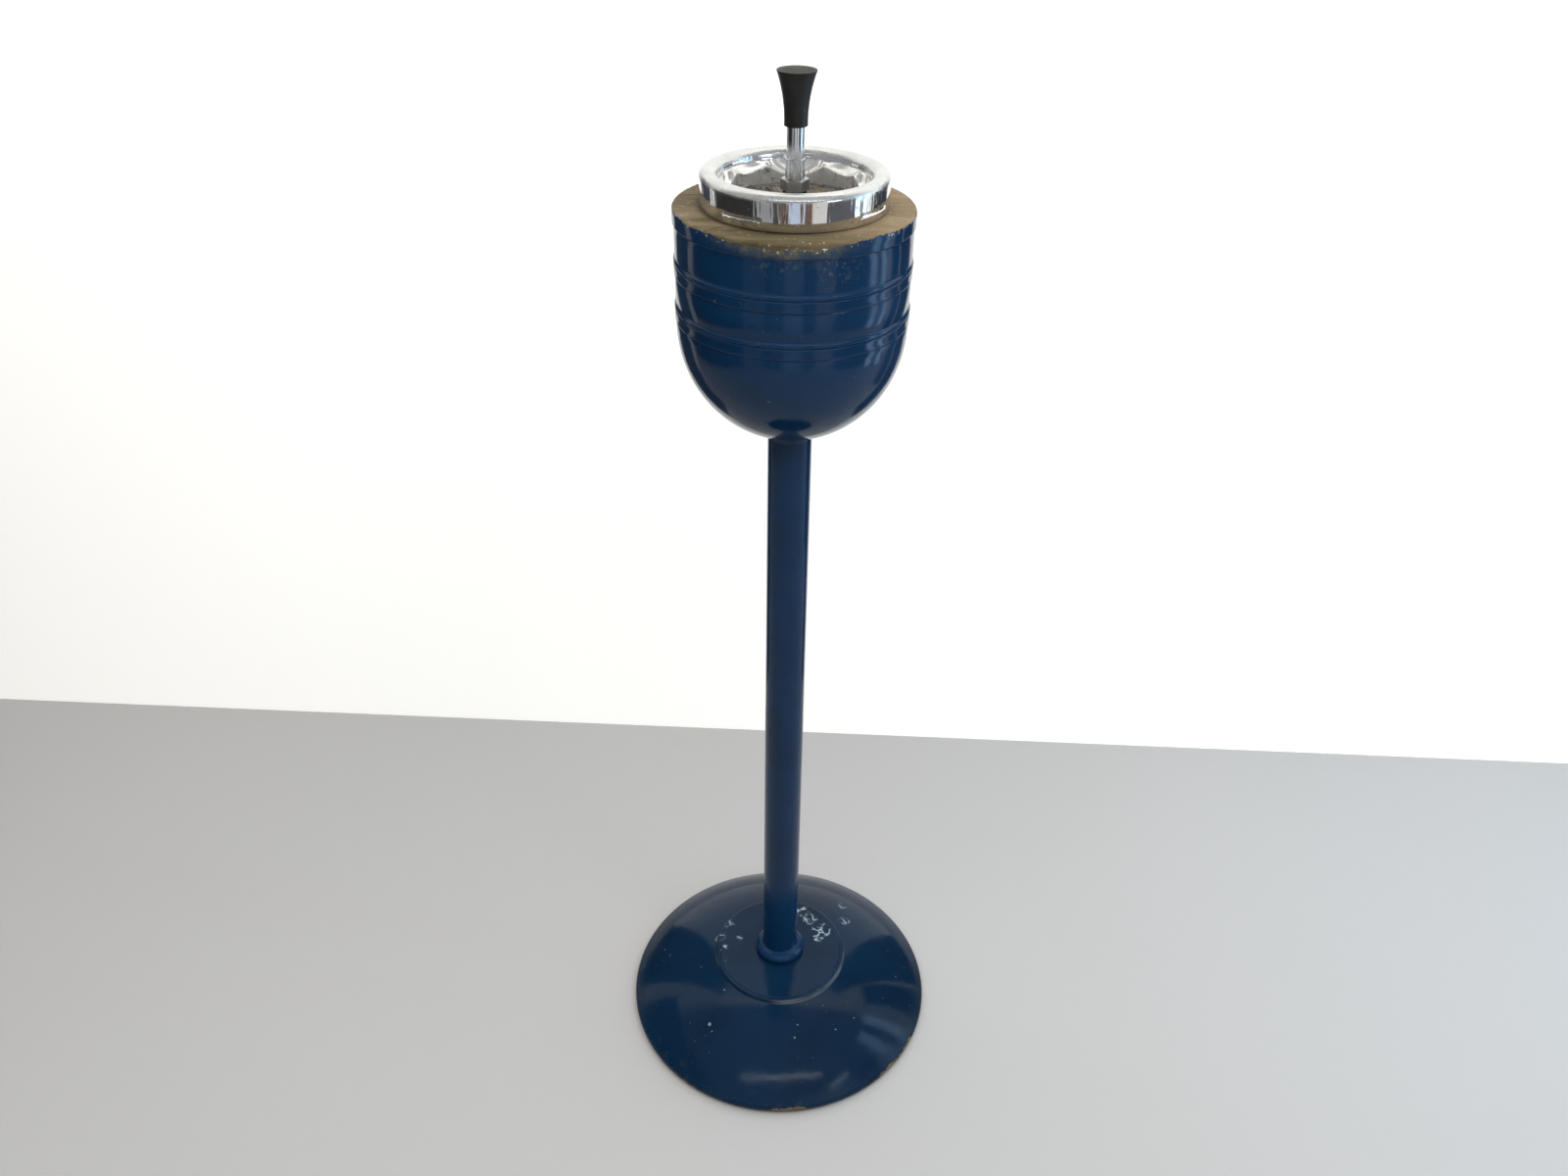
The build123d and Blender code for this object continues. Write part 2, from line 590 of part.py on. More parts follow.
# ---- Knob: a flared plastic grip whose nearly flat top is part of a sphere ----
knob_dome_height = KNOB_TOP_Z - KNOB_EDGE_Z
knob_dome_r = ((KNOB_R - 0.4) ** 2 + knob_dome_height**2) / (2 * knob_dome_height)
knob_mid_r = KNOB_R / 2
knob_mid_z = KNOB_TOP_Z - knob_dome_r + math.sqrt(knob_dome_r**2 - knob_mid_r**2)
with BuildPart() as knob:
    with BuildSketch(Plane.XZ):
        with BuildLine():
            Polyline(
                (0, STEM_TOP_Z),
                (STEM_R, STEM_TOP_Z),
                (STEM_R, KNOB_BOTTOM_Z),
                (KNOB_WAIST_R - 0.4, KNOB_BOTTOM_Z),
                (KNOB_WAIST_R, KNOB_BOTTOM_Z + 0.8),
            )
            ThreePointArc((KNOB_WAIST_R, KNOB_BOTTOM_Z + 0.8), (7.15, 675.6), (KNOB_R, KNOB_EDGE_Z - 0.4))
            ThreePointArc(
                (KNOB_R, KNOB_EDGE_Z - 0.4), (KNOB_R - 0.1, KNOB_EDGE_Z - 0.1), (KNOB_R - 0.4, KNOB_EDGE_Z)
            )
            ThreePointArc((KNOB_R - 0.4, KNOB_EDGE_Z), (knob_mid_r, knob_mid_z), (0, KNOB_TOP_Z))
            Line((0, KNOB_TOP_Z), (0, STEM_TOP_Z))
        make_face()
    revolve(axis=Axis.Z)
knob.part.label = "knob"
export_step(knob.part, "parts/knob.step")

thrust_washer = ring(CAP_HOLE_R, THRUST_WASHER_R, thrust_bottom_z, THRUST_WASHER_THICKNESS)
thrust_washer.part.label = "thrust_washer"
export_step(thrust_washer.part, "parts/thrust_washer.step")

# ---- Hub sleeve: turns on the stem, clamps the plate and houses the drive nut ----
with BuildPart() as hub_sleeve:
    with BuildSketch(Plane.XZ):
        with BuildLine():
            Polyline(
                (HUB_BORE_R, HUB_TOP_Z),
                (HUB_R, HUB_TOP_Z),
                (HUB_R, PLATE_BOTTOM_Z),
                (HUB_FLANGE_R, PLATE_BOTTOM_Z),
                (HUB_FLANGE_R, HUB_FLANGE_Z),
                (HOUSING_R, HUB_FLANGE_Z),
                (HOUSING_R, HOUSING_BOTTOM_Z),
                (CHAMBER_R, HOUSING_BOTTOM_Z),
                (CHAMBER_R, CHAMBER_TOP_Z),
                (HUB_BORE_R, CHAMBER_TOP_Z),
                (HUB_BORE_R, HUB_TOP_Z),
            )
        make_face()
    revolve(axis=Axis.Z)
hub_sleeve.part.label = "hub_sleeve"
export_step(hub_sleeve.part, "parts/hub_sleeve.step")

hub_cap = ring(CAP_HOLE_R, CHAMBER_R, HOUSING_BOTTOM_Z, CAP_THICKNESS)
hub_cap.part.label = "hub_cap"
export_step(hub_cap.part, "parts/hub_cap.step")

hub_spacer = ring(HUB_R, NECK_R, plate_top_z, NUT_BOTTOM_Z - plate_top_z)
hub_spacer.part.label = "hub_spacer"
export_step(hub_spacer.part, "parts/hub_spacer.step")

# ---- Hub nut: the hexagon above the plate, with its corners turned off at the top ----
with BuildPart() as hub_nut:
    with BuildSketch(Plane.XY.offset(NUT_BOTTOM_Z)):
        RegularPolygon(NUT_FLATS / 2, side_count=6, major_radius=False)
    extrude(amount=NUT_TOP_Z - NUT_BOTTOM_Z)
    with BuildSketch(Plane.XZ):
        with BuildLine():
            Polyline(
                (NUT_FLATS / 2 + 0.1, NUT_TOP_Z + 0.1),
                (NUT_FLATS / 2 + 2.1, NUT_TOP_Z + 0.1),
                (NUT_FLATS / 2 + 2.1, NUT_TOP_Z - 1.1),
                (NUT_FLATS / 2 + 0.1, NUT_TOP_Z + 0.1),
            )
        make_face()
    revolve(axis=Axis.Z, mode=Mode.SUBTRACT)
    with BuildSketch(Plane.XY.offset(NUT_BOTTOM_Z)):
        Circle(HUB_R)
    extrude(amount=NUT_TOP_Z - NUT_BOTTOM_Z, mode=Mode.SUBTRACT)
hub_nut.part.label = "hub_nut"
export_step(hub_nut.part, "parts/hub_nut.step")

# ---- Spin plate: the disc that carries the ash, with softened edges ----
with BuildPart() as spin_plate:
    with BuildSketch(Plane.XY.offset(PLATE_BOTTOM_Z)):
        Circle(PLATE_R)
        Circle(HUB_R, mode=Mode.SUBTRACT)
    extrude(amount=PLATE_THICKNESS)
    rim_edges = spin_plate.edges().filter_by(GeomType.CIRCLE).sort_by(SortBy.RADIUS)[-2:]
    fillet(rim_edges, radius=0.3)
spin_plate.part.label = "spin_plate"
export_step(spin_plate.part, "parts/spin_plate.step")

# ---- Drive nut: turned by the spindle as the plunger comes down ----
nut_slot = twisted_square(SLOT_SQUARE, DRIVE_NUT_Z - 0.5, DRIVE_NUT_Z + DRIVE_NUT_THICKNESS + 0.5)
with BuildPart() as drive_nut:
    with BuildSketch(Plane.XY.offset(DRIVE_NUT_Z)):
        Circle(DRIVE_NUT_R)
    extrude(amount=DRIVE_NUT_THICKNESS)
    add(nut_slot.part, mode=Mode.SUBTRACT)
drive_nut.part.label = "drive_nut"
export_step(drive_nut.part, "parts/drive_nut.step")
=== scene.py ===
import math

import bpy
import bmesh
from mathutils import Matrix, Vector


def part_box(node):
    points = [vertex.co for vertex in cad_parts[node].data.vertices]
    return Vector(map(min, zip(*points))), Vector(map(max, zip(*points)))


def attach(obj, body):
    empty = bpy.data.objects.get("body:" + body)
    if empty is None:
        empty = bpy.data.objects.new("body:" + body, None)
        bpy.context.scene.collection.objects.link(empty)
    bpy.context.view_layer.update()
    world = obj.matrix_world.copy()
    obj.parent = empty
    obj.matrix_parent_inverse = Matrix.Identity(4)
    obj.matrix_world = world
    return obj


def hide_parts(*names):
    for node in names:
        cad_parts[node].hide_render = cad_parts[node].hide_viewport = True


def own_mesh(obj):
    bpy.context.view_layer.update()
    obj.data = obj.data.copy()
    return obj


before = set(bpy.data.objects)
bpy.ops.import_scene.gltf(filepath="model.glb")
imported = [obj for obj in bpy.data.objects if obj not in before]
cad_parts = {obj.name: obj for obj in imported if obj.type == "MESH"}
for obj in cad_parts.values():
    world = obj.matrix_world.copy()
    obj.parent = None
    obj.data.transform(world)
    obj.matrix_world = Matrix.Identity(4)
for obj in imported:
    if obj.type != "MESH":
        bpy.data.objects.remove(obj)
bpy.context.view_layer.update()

MM = 0.001
TAU = 2 * math.pi
SAME_POINT = 1e-4


# ---------------------------------------------------------------- mesh helpers
def arc(start, middle, end, count=8):
    """Points of the circular arc through three (r, z) points, both ends included."""
    (ax, ay), (bx, by), (cx, cy) = start, middle, end
    a_far, b_far, c_far = ax * ax + ay * ay, bx * bx + by * by, cx * cx + cy * cy
    d = 2 * (ax * (by - cy) + bx * (cy - ay) + cx * (ay - by))
    ux = (a_far * (by - cy) + b_far * (cy - ay) + c_far * (ay - by)) / d
    uy = (a_far * (cx - bx) + b_far * (ax - cx) + c_far * (bx - ax)) / d
    radius = math.hypot(ax - ux, ay - uy)
    a0 = math.atan2(ay - uy, ax - ux)
    am = math.atan2(by - uy, bx - ux)
    a1 = math.atan2(cy - uy, cx - ux)
    sweep = (a1 - a0) % TAU
    if (am - a0) % TAU > sweep:
        sweep -= TAU
    angles = [a0 + sweep * i / count for i in range(count + 1)]
    return [(ux + radius * math.cos(angle), uy + radius * math.sin(angle)) for angle in angles]


def turn_from(angle, centre):
    """The angle from centre, between minus and plus half a turn."""
    return (angle - centre + math.pi) % TAU - math.pi


def run(start, end, count):
    """Points along a straight line, both ends included."""
    (r0, z0), (r1, z1) = start, end
    return [(r0 + (r1 - r0) * i / count, z0 + (z1 - z0) * i / count) for i in range(count + 1)]


def join(*runs):
    """Runs of points as one line, with doubled points dropped."""
    line = []
    for points in runs:
        for point in points:
            if not line or math.dist(point, line[-1]) > SAME_POINT:
                line.append(point)
    return line


def polar(r, z, angle):
    """A point in metres from a radius and a height in millimetres."""
    return (r * MM * math.cos(angle), r * MM * math.sin(angle), z * MM)


def mesh_object(name, mesh, material):
    piece = bpy.data.objects.new(name, mesh)
    bpy.context.scene.collection.objects.link(piece)
    mesh.materials.append(material)
    return piece


def object_from(bm, name, material):
    mesh = bpy.data.meshes.new(name)
    bm.to_mesh(mesh)
    bm.free()
    return mesh_object(name, mesh, material)


def lathe(name, profile, material, steps=192, shape=None, closed=True, sharp=35.0):
    """Turns a profile of (r, z) millimetres about the Z axis; shape may move each point."""
    bm = bmesh.new()
    rings = []
    for r, z in profile:
        if r < SAME_POINT:
            rings.append([bm.verts.new((0.0, 0.0, z * MM))])
            continue
        ring = []
        for step in range(steps):
            angle = TAU * step / steps
            rr, zz = shape(r, z, angle) if shape else (r, z)
            ring.append(bm.verts.new(polar(rr, zz, angle)))
        rings.append(ring)
    pairs = list(zip(rings, rings[1:]))
    if closed and len(rings[0]) > 1 and len(rings[-1]) > 1:
        pairs.append((rings[-1], rings[0]))
    for low, high in pairs:
        for step in range(steps):
            after = (step + 1) % steps
            if len(low) == 1 and len(high) == 1:
                break
            if len(low) == 1:
                bm.faces.new((low[0], high[after], high[step]))
            elif len(high) == 1:
                bm.faces.new((low[step], low[after], high[0]))
            else:
                bm.faces.new((low[step], low[after], high[after], high[step]))
    bmesh.ops.recalc_face_normals(bm, faces=bm.faces)
    for face in bm.faces:
        face.smooth = True
    for edge in bm.edges:
        if len(edge.link_faces) == 2 and edge.calc_face_angle(0.0) > math.radians(sharp):
            edge.smooth = False
    return object_from(bm, name, material)


# ---------------------------------------------------------------- material helpers
class Look:
    """A material's node tree with short calls for the nodes that the finishes below share."""

    def __init__(self, name):
        self.material = bpy.data.materials.new(name)
        self.material.use_nodes = True
        self.tree = self.material.node_tree
        self.shader = self.tree.nodes["Principled BSDF"]
        self.place = self.tree.nodes.new("ShaderNodeTexCoord").outputs["Object"]

    def node(self, kind, **values):
        made = self.tree.nodes.new(kind)
        for key, value in values.items():
            setattr(made, key, value)
        return made

    def feed(self, socket, value):
        if isinstance(value, bpy.types.NodeSocket):
            self.tree.links.new(value, socket)
        else:
            socket.default_value = value

    def math(self, operation, a, b=0.0, c=0.0):
        made = self.node("ShaderNodeMath", operation=operation)
        for socket, value in zip(made.inputs, (a, b, c)):
            self.feed(socket, value)
        return made.outputs[0]

    def times(self, a, b):
        return self.math("MULTIPLY", a, b)

    def plus(self, a, b):
        return self.math("ADD", a, b)

    def less(self, a, b):
        return self.math("SUBTRACT", a, b)

    def most(self, a, b):
        return self.math("MAXIMUM", a, b)

    def stretched(self, sx, sy, sz, shift=(0.0, 0.0, 0.0)):
        made = self.node("ShaderNodeMapping")
        self.feed(made.inputs["Vector"], self.place)
        made.inputs["Scale"].default_value = (sx, sy, sz)
        made.inputs["Location"].default_value = shift
        return made.outputs[0]

    def axes(self):
        made = self.node("ShaderNodeSeparateXYZ")
        self.feed(made.inputs[0], self.place)
        return made.outputs

    def noise(self, scale, detail=3.0, rough=0.55, vector=None, distortion=0.0):
        made = self.node("ShaderNodeTexNoise")
        self.feed(made.inputs["Vector"], vector if vector is not None else self.place)
        made.inputs["Scale"].default_value = scale
        made.inputs["Detail"].default_value = detail
        made.inputs["Roughness"].default_value = rough
        made.inputs["Distortion"].default_value = distortion
        return made.outputs["Fac"]

    def cells(self, scale, feature="DISTANCE_TO_EDGE", vector=None):
        made = self.node("ShaderNodeTexVoronoi", feature=feature)
        self.feed(made.inputs["Vector"], vector if vector is not None else self.place)
        made.inputs["Scale"].default_value = scale
        return made.outputs["Distance"]

    def span(self, value, low, high, to_low=0.0, to_high=1.0):
        """Maps value from low..high to to_low..to_high, clamped and eased."""
        made = self.node("ShaderNodeMapRange", interpolation_type="SMOOTHSTEP")
        self.feed(made.inputs["Value"], value)
        limits = {"From Min": low, "From Max": high, "To Min": to_low, "To Max": to_high}
        for key, number in limits.items():
            made.inputs[key].default_value = number
        return made.outputs["Result"]

    def mix(self, factor, a, b):
        made = self.node("ShaderNodeMix", data_type="RGBA")
        self.feed(made.inputs["Factor"], factor)
        self.feed(made.inputs[6], (*a, 1.0) if isinstance(a, tuple) else a)
        self.feed(made.inputs[7], (*b, 1.0) if isinstance(b, tuple) else b)
        return made.outputs[2]

    def blend(self, factor, a, b):
        made = self.node("ShaderNodeMix", data_type="FLOAT")
        self.feed(made.inputs["Factor"], factor)
        self.feed(made.inputs[2], a)
        self.feed(made.inputs[3], b)
        return made.outputs[0]

    def near(self, centre, radius, squash=(1.0, 1.0, 1.0)):
        """1 at a place on the object, in metres, falling to 0 at the radius."""
        shifted = self.node("ShaderNodeVectorMath", operation="SUBTRACT")
        self.feed(shifted.inputs[0], self.place)
        shifted.inputs[1].default_value = centre
        scaled = self.node("ShaderNodeVectorMath", operation="MULTIPLY")
        self.feed(scaled.inputs[0], shifted.outputs[0])
        scaled.inputs[1].default_value = squash
        length = self.node("ShaderNodeVectorMath", operation="LENGTH")
        self.feed(length.inputs[0], scaled.outputs[0])
        return self.span(length.outputs["Value"], 0.0, radius, 1.0, 0.0)

    def bump(self, height, distance, strength=1.0, onto=None):
        made = self.node("ShaderNodeBump")
        made.inputs["Strength"].default_value = strength
        made.inputs["Distance"].default_value = distance
        self.feed(made.inputs["Height"], height)
        if onto is not None:
            self.feed(made.inputs["Normal"], onto)
        return made.outputs["Normal"]

    def finish(self, **sockets):
        for key, value in sockets.items():
            name = key.replace("_", " ")
            if isinstance(value, tuple):
                value = (*value, 1.0)
            self.feed(self.shader.inputs[name], value)
        return self.material


def rgb(red, green, blue):
    """Linear colour of a display colour given in 0 to 255."""
    def linear(v):
        v = v / 255
        return v / 12.92 if v <= 0.04045 else ((v + 0.055) / 1.055) ** 2.4
    return (linear(red), linear(green), linear(blue))


NAVY = rgb(12, 44, 74)
NAVY_DEEP = rgb(8, 36, 64)
NAVY_WORN = rgb(34, 60, 88)
WOOD = rgb(112, 99, 76)
WOOD_DARK = rgb(68, 58, 40)
WOOD_PALE = rgb(138, 124, 98)
RUBBED_PAINT = rgb(94, 90, 70)
PAINT_IOR = 1.36


def angle_of(look):
    x, y = look.axes()[:2]
    return look.math("ARCTAN2", y, x)


def radius_of(look):
    x, y = look.axes()[:2]
    return look.math("SQRT", look.plus(look.times(x, x), look.times(y, y)))


def paint_base(look, light=NAVY, deep=NAVY_DEEP):
    """Gloss paint brushed on turned wood: colour, roughness and height for the shader."""
    drift = look.noise(14.0, 2.0)
    colour = look.mix(look.span(drift, 0.35, 0.7), light, deep)
    dust = look.span(look.noise(900.0, 2.0), 0.66, 0.78)
    colour = look.mix(look.times(dust, 0.35), colour, NAVY_WORN)
    orange_peel = look.noise(160.0, 2.0, 0.5)
    ripples = look.noise(30.0, 2.0, 0.5)
    rough = look.span(look.noise(45.0, 3.0), 0.3, 0.7, 0.09, 0.17)
    height = look.plus(look.times(orange_peel, 0.4), look.times(ripples, 1.6))
    return colour, rough, height


def bare_wood(look, lengthwise):
    """Aged bare hardwood with its grain along the given stretch."""
    grain_place = look.stretched(*lengthwise)
    grain = look.noise(55.0, 6.0, 0.65, grain_place, 1.2)
    fine = look.noise(260.0, 4.0, 0.6, grain_place)
    tone = look.plus(look.times(grain, 0.65), look.times(fine, 0.35))
    colour = look.mix(look.span(tone, 0.36, 0.62), WOOD_DARK, WOOD)
    colour = look.mix(look.span(look.noise(38.0, 3.0), 0.55, 0.75, 0.0, 0.55), colour, WOOD_PALE)
    return colour, tone


def painted_column():
    look = Look("painted_column")
    colour, rough, height = paint_base(look)
    strands = look.noise(420.0, 2.0, 0.5, look.stretched(1.0, 1.0, 0.02))
    height = look.plus(height, look.times(strands, 0.35))
    return look.finish(
        Base_Color=colour,
        Roughness=rough,
        Normal=look.bump(height, 0.00012, 0.55),
        IOR=PAINT_IOR,
        Specular_IOR_Level=0.36,
    )


def painted_bowl():
    look = Look("painted_bowl")
    x, y, z = look.axes()
    paint, rough, height = paint_base(look)
    wood, grain = bare_wood(look, (0.12, 1.0, 1.0))
    radius = radius_of(look)
    # Paint is gone from the top face; its torn edge dips down the front of the band.
    ragged = look.noise(140.0, 5.0, 0.62)
    ragged_low = look.noise(24.0, 2.0, 0.5)
    front = look.span(y, -0.056, 0.012, 1.0, 0.0)
    centred = look.span(look.math("ABSOLUTE", look.plus(x, 0.004)), 0.004, 0.05, 1.0, 0.0)
    dip = look.times(look.times(front, centred), 0.0023)
    edge = look.less(0.6212, dip)
    edge = look.plus(edge, look.times(look.less(ragged, 0.5), 0.0046))
    edge = look.plus(edge, look.times(look.less(ragged_low, 0.5), 0.0030))
    bare = look.span(look.less(z, edge), -0.00012, 0.00012)
    inside_edge = look.span(radius, 0.0608, 0.0614, 1.0, 0.0)
    face = look.times(look.span(z, 0.6200, 0.6203), inside_edge)
    bare = look.most(bare, face)
    # Below the torn edge the paint is rubbed thin, so wood shows through in mottled patches.
    mottle = look.span(look.noise(260.0, 5.0, 0.7), 0.46, 0.58)
    rubbed = look.span(look.less(edge, z), 0.0, 0.0068, 1.0, 0.0)
    rubbed = look.times(look.times(rubbed, front), centred)
    paint = look.mix(look.times(rubbed, look.blend(mottle, 0.45, 1.0)), paint, RUBBED_PAINT)
    dry = look.span(look.noise(380.0, 4.0, 0.7), 0.52, 0.64)
    low_patch = look.near((0.022, -0.060, 0.608), 0.020, (1.0, 1.0, 1.6))
    high_patch = look.near((-0.006, -0.063, 0.610), 0.016, (0.8, 1.0, 2.0))
    low_patch = look.most(low_patch, high_patch)
    paint = look.mix(look.times(look.times(low_patch, dry), 0.55), paint, rgb(86, 88, 76))
    # Nicks where the paint has chipped along the beads and the band.
    chips = look.span(look.noise(330.0, 3.0, 0.6), 0.70, 0.735)
    # Radial checks in the end grain and a dark stain beside the metal.
    angle = angle_of(look)
    wavy = look.plus(angle, look.times(look.noise(90.0, 3.0), 0.10))
    check_line = None
    for place, width, inner, outer in (
        (-0.30, 0.016, 0.048, 0.0640),
        (-0.62, 0.012, 0.051, 0.0640),
        (0.12, 0.014, 0.050, 0.0640),
        (-2.30, 0.012, 0.050, 0.0615),
        (1.22, 0.010, 0.049, 0.0640),
        (2.62, 0.014, 0.048, 0.0625),
    ):
        off = look.math("ABSOLUTE", look.less(wavy, place + 0.05))
        line = look.span(off, 0.0, width, 1.0, 0.0)
        line = look.times(line, look.span(radius, inner, inner + 0.003))
        line = look.times(line, look.span(radius, outer - 0.002, outer, 1.0, 0.0))
        check_line = line if check_line is None else look.most(check_line, line)
    stain_reach = look.plus(radius, look.times(ragged, 0.003))
    stain = look.span(stain_reach, 0.0495, 0.0545, 0.75, 0.0)
    wood = look.mix(stain, wood, rgb(52, 42, 28))
    wood = look.mix(look.times(check_line, 0.92), wood, rgb(34, 27, 18))
    warm = look.span(x, -0.02, 0.06)
    wood = look.mix(look.times(warm, 0.5), wood, rgb(140, 120, 94))
    handled = look.span(y, -0.064, -0.035, 0.55, 0.0)
    wood = look.mix(handled, wood, rgb(66, 60, 40))
    specks = look.span(look.noise(620.0, 2.0), 0.69, 0.73)
    wood = look.mix(look.times(specks, 0.7), wood, rgb(206, 194, 170))
    near_edge = look.span(look.less(edge, z), 0.0, 0.0022, 1.0, 0.0)
    flecks = look.times(near_edge, look.span(look.noise(480.0, 2.0), 0.60, 0.66))
    paint = look.mix(look.times(flecks, 0.85), paint, rgb(196, 192, 176))
    paint = look.mix(look.times(chips, 0.35), paint, rgb(120, 118, 104))
    colour = look.mix(bare, paint, wood)
    rough = look.blend(bare, rough, 0.78)
    height = look.times(height, look.blend(bare, 1.0, 0.0))
    grain_height = look.times(grain, look.blend(bare, 0.0, 1.8))
    height = look.plus(height, grain_height)
    height = look.less(height, look.times(bare, 1.2))
    height = look.less(height, look.times(look.times(check_line, bare), 3.0))
    return look.finish(
        Base_Color=colour,
        Roughness=rough,
        Normal=look.bump(height, 0.00016, 0.6),
        IOR=PAINT_IOR,
        Specular_IOR_Level=0.40,
    )


def painted_base():
    look = Look("painted_base")
    z = look.axes()[2]
    paint, rough, height = paint_base(look, rgb(9, 34, 57), rgb(7, 28, 48))
    wood, grain = bare_wood(look, (0.12, 1.0, 1.0))
    radius = radius_of(look)
    ragged = look.noise(180.0, 5.0, 0.65)
    drift = look.noise(16.0, 2.0)
    # Bare wood along the foot of the rim, in runs.
    threshold = look.plus(0.0016, look.times(look.span(drift, 0.38, 0.60), 0.0050))
    threshold = look.plus(threshold, look.times(look.less(ragged, 0.5), 0.009))
    bare = look.span(look.less(threshold, z), -0.0002, 0.0002)
    dusty = look.span(look.noise(70.0, 4.0, 0.7), 0.55, 0.72)
    rim_band = look.span(radius, 0.103, 0.1125)
    paint = look.mix(look.times(look.times(dusty, rim_band), 0.35), paint, rgb(80, 80, 78))
    # Pale crazed marks where something was stuck behind the column, with crumbs round them.
    wander = look.node("ShaderNodeTexNoise")
    look.feed(wander.inputs["Vector"], look.place)
    wander.inputs["Scale"].default_value = 120.0
    shifted = look.node("ShaderNodeVectorMath", operation="MULTIPLY_ADD")
    look.feed(shifted.inputs[0], wander.outputs["Color"])
    shifted.inputs[1].default_value = (0.006, 0.006, 0.0)
    look.feed(shifted.inputs[2], look.place)
    cracks = look.span(look.cells(150.0, vector=shifted.outputs[0]), 0.0, 0.10, 1.0, 0.0)
    broken = look.span(look.noise(170.0, 3.0, 0.6), 0.38, 0.50)
    marks = look.times(cracks, broken)
    areas = None
    for cx, cy, size, weight in (
        (0.0165, 0.0365, 0.0080, 1.0),
        (0.0235, 0.0290, 0.0085, 1.0),
        (0.0325, 0.0180, 0.0100, 1.0),
        (0.0300, 0.0100, 0.0060, 0.9),
        (0.0514, 0.0337, 0.0065, 0.9),
        (0.0505, 0.0530, 0.0060, 0.9),
        (0.0667, 0.0318, 0.0030, 0.9),
        (-0.0400, 0.0220, 0.0075, 0.45),
        (-0.0470, 0.0094, 0.0070, 0.40),
        (-0.0312, 0.0085, 0.0050, 0.40),
        (-0.0425, -0.0010, 0.0040, 0.40),
    ):
        spot = look.near((cx, cy, 0.044), size, (1.0, 1.0, 0.25))
        spot = look.times(spot, weight)
        areas = spot if areas is None else look.most(areas, spot)
    marks = look.times(marks, look.span(areas, 0.06, 0.40))
    smudge = look.span(look.noise(210.0, 4.0, 0.7), 0.52, 0.66)
    smears = look.times(look.span(areas, 0.0, 0.5), smudge)
    marks = look.most(marks, look.times(smears, 0.35))
    chip = look.near((-0.0167, -0.0444, 0.0430), 0.0016)
    marks = look.most(marks, look.span(chip, 0.2, 0.5))
    for cx, cy, cz in (
        (-0.0606, -0.0153, 0.0394),
        (-0.0507, -0.0614, 0.0310),
        (0.0129, -0.0732, 0.0345),
    ):
        marks = look.most(marks, look.span(look.near((cx, cy, cz), 0.0022), 0.25, 0.6, 0.0, 0.5))
    crumbs = look.span(look.noise(430.0, 2.0), 0.735, 0.76)
    crumbs = look.times(crumbs, look.span(look.noise(22.0, 2.0), 0.50, 0.62))
    pale = look.most(marks, look.times(crumbs, 0.7))
    paint = look.mix(look.times(pale, 0.8), paint, rgb(170, 188, 196))
    # Dust held in the step's groove.
    groove = look.math("ABSOLUTE", look.less(radius, 0.0496))
    groove = look.span(groove, 0.0003, 0.0012, 0.4, 0.0)
    groove = look.times(groove, look.span(drift, 0.4, 0.6))
    paint = look.mix(groove, paint, rgb(120, 128, 134))
    rough = look.plus(rough, look.times(rim_band, 0.16))
    colour = look.mix(bare, paint, wood)
    rough = look.blend(bare, rough, 0.8)
    height = look.plus(height, look.times(grain, look.blend(bare, 0.0, 2.0)))
    height = look.plus(height, look.times(pale, 0.8))
    return look.finish(
        Base_Color=colour,
        Roughness=rough,
        Normal=look.bump(height, 0.00016, 0.6),
        IOR=PAINT_IOR,
        Specular_IOR_Level=0.28,
    )


def chrome_rim():
    look = Look("worn_chrome")
    z = look.axes()[2]
    haze = look.noise(60.0, 5.0, 0.65)
    fine = look.noise(900.0, 2.0, 0.5)
    spun = look.noise(1.0, 2.0, 0.5, look.stretched(90.0, 90.0, 2600.0))
    top = look.span(z, 0.6352, 0.6385)
    rough = look.plus(look.times(top, 0.20), look.span(haze, 0.35, 0.7, 0.04, 0.16))
    pits = look.span(look.noise(430.0, 3.0, 0.6), 0.66, 0.72)
    tarnish = look.span(look.noise(34.0, 4.0, 0.7), 0.5, 0.72)
    colour = look.mix(look.times(tarnish, 0.35), rgb(222, 223, 224), rgb(184, 180, 172))
    colour = look.mix(look.times(pits, 0.55), colour, rgb(84, 76, 64))
    rough = look.plus(rough, look.times(pits, 0.3))
    height = look.plus(look.times(fine, 0.35), look.times(haze, 0.8))
    height = look.plus(height, look.times(spun, 0.2))
    height = look.less(height, look.times(pits, 0.8))
    ripples = look.noise(1.0, 3.0, 0.6, look.stretched(120.0, 120.0, 9.0))
    normal = look.bump(ripples, 0.0009, 0.5)
    cloudy = look.times(top, look.span(haze, 0.3, 0.7, 0.10, 0.30))
    clouded = look.times(top, look.span(haze, 0.3, 0.7, 0.5, 1.0))
    colour = look.mix(clouded, colour, rgb(192, 192, 189))
    return look.finish(
        Base_Color=colour,
        Metallic=look.less(1.0, cloudy),
        Roughness=rough,
        Normal=look.bump(height, 0.00006, 0.45, normal),
    )


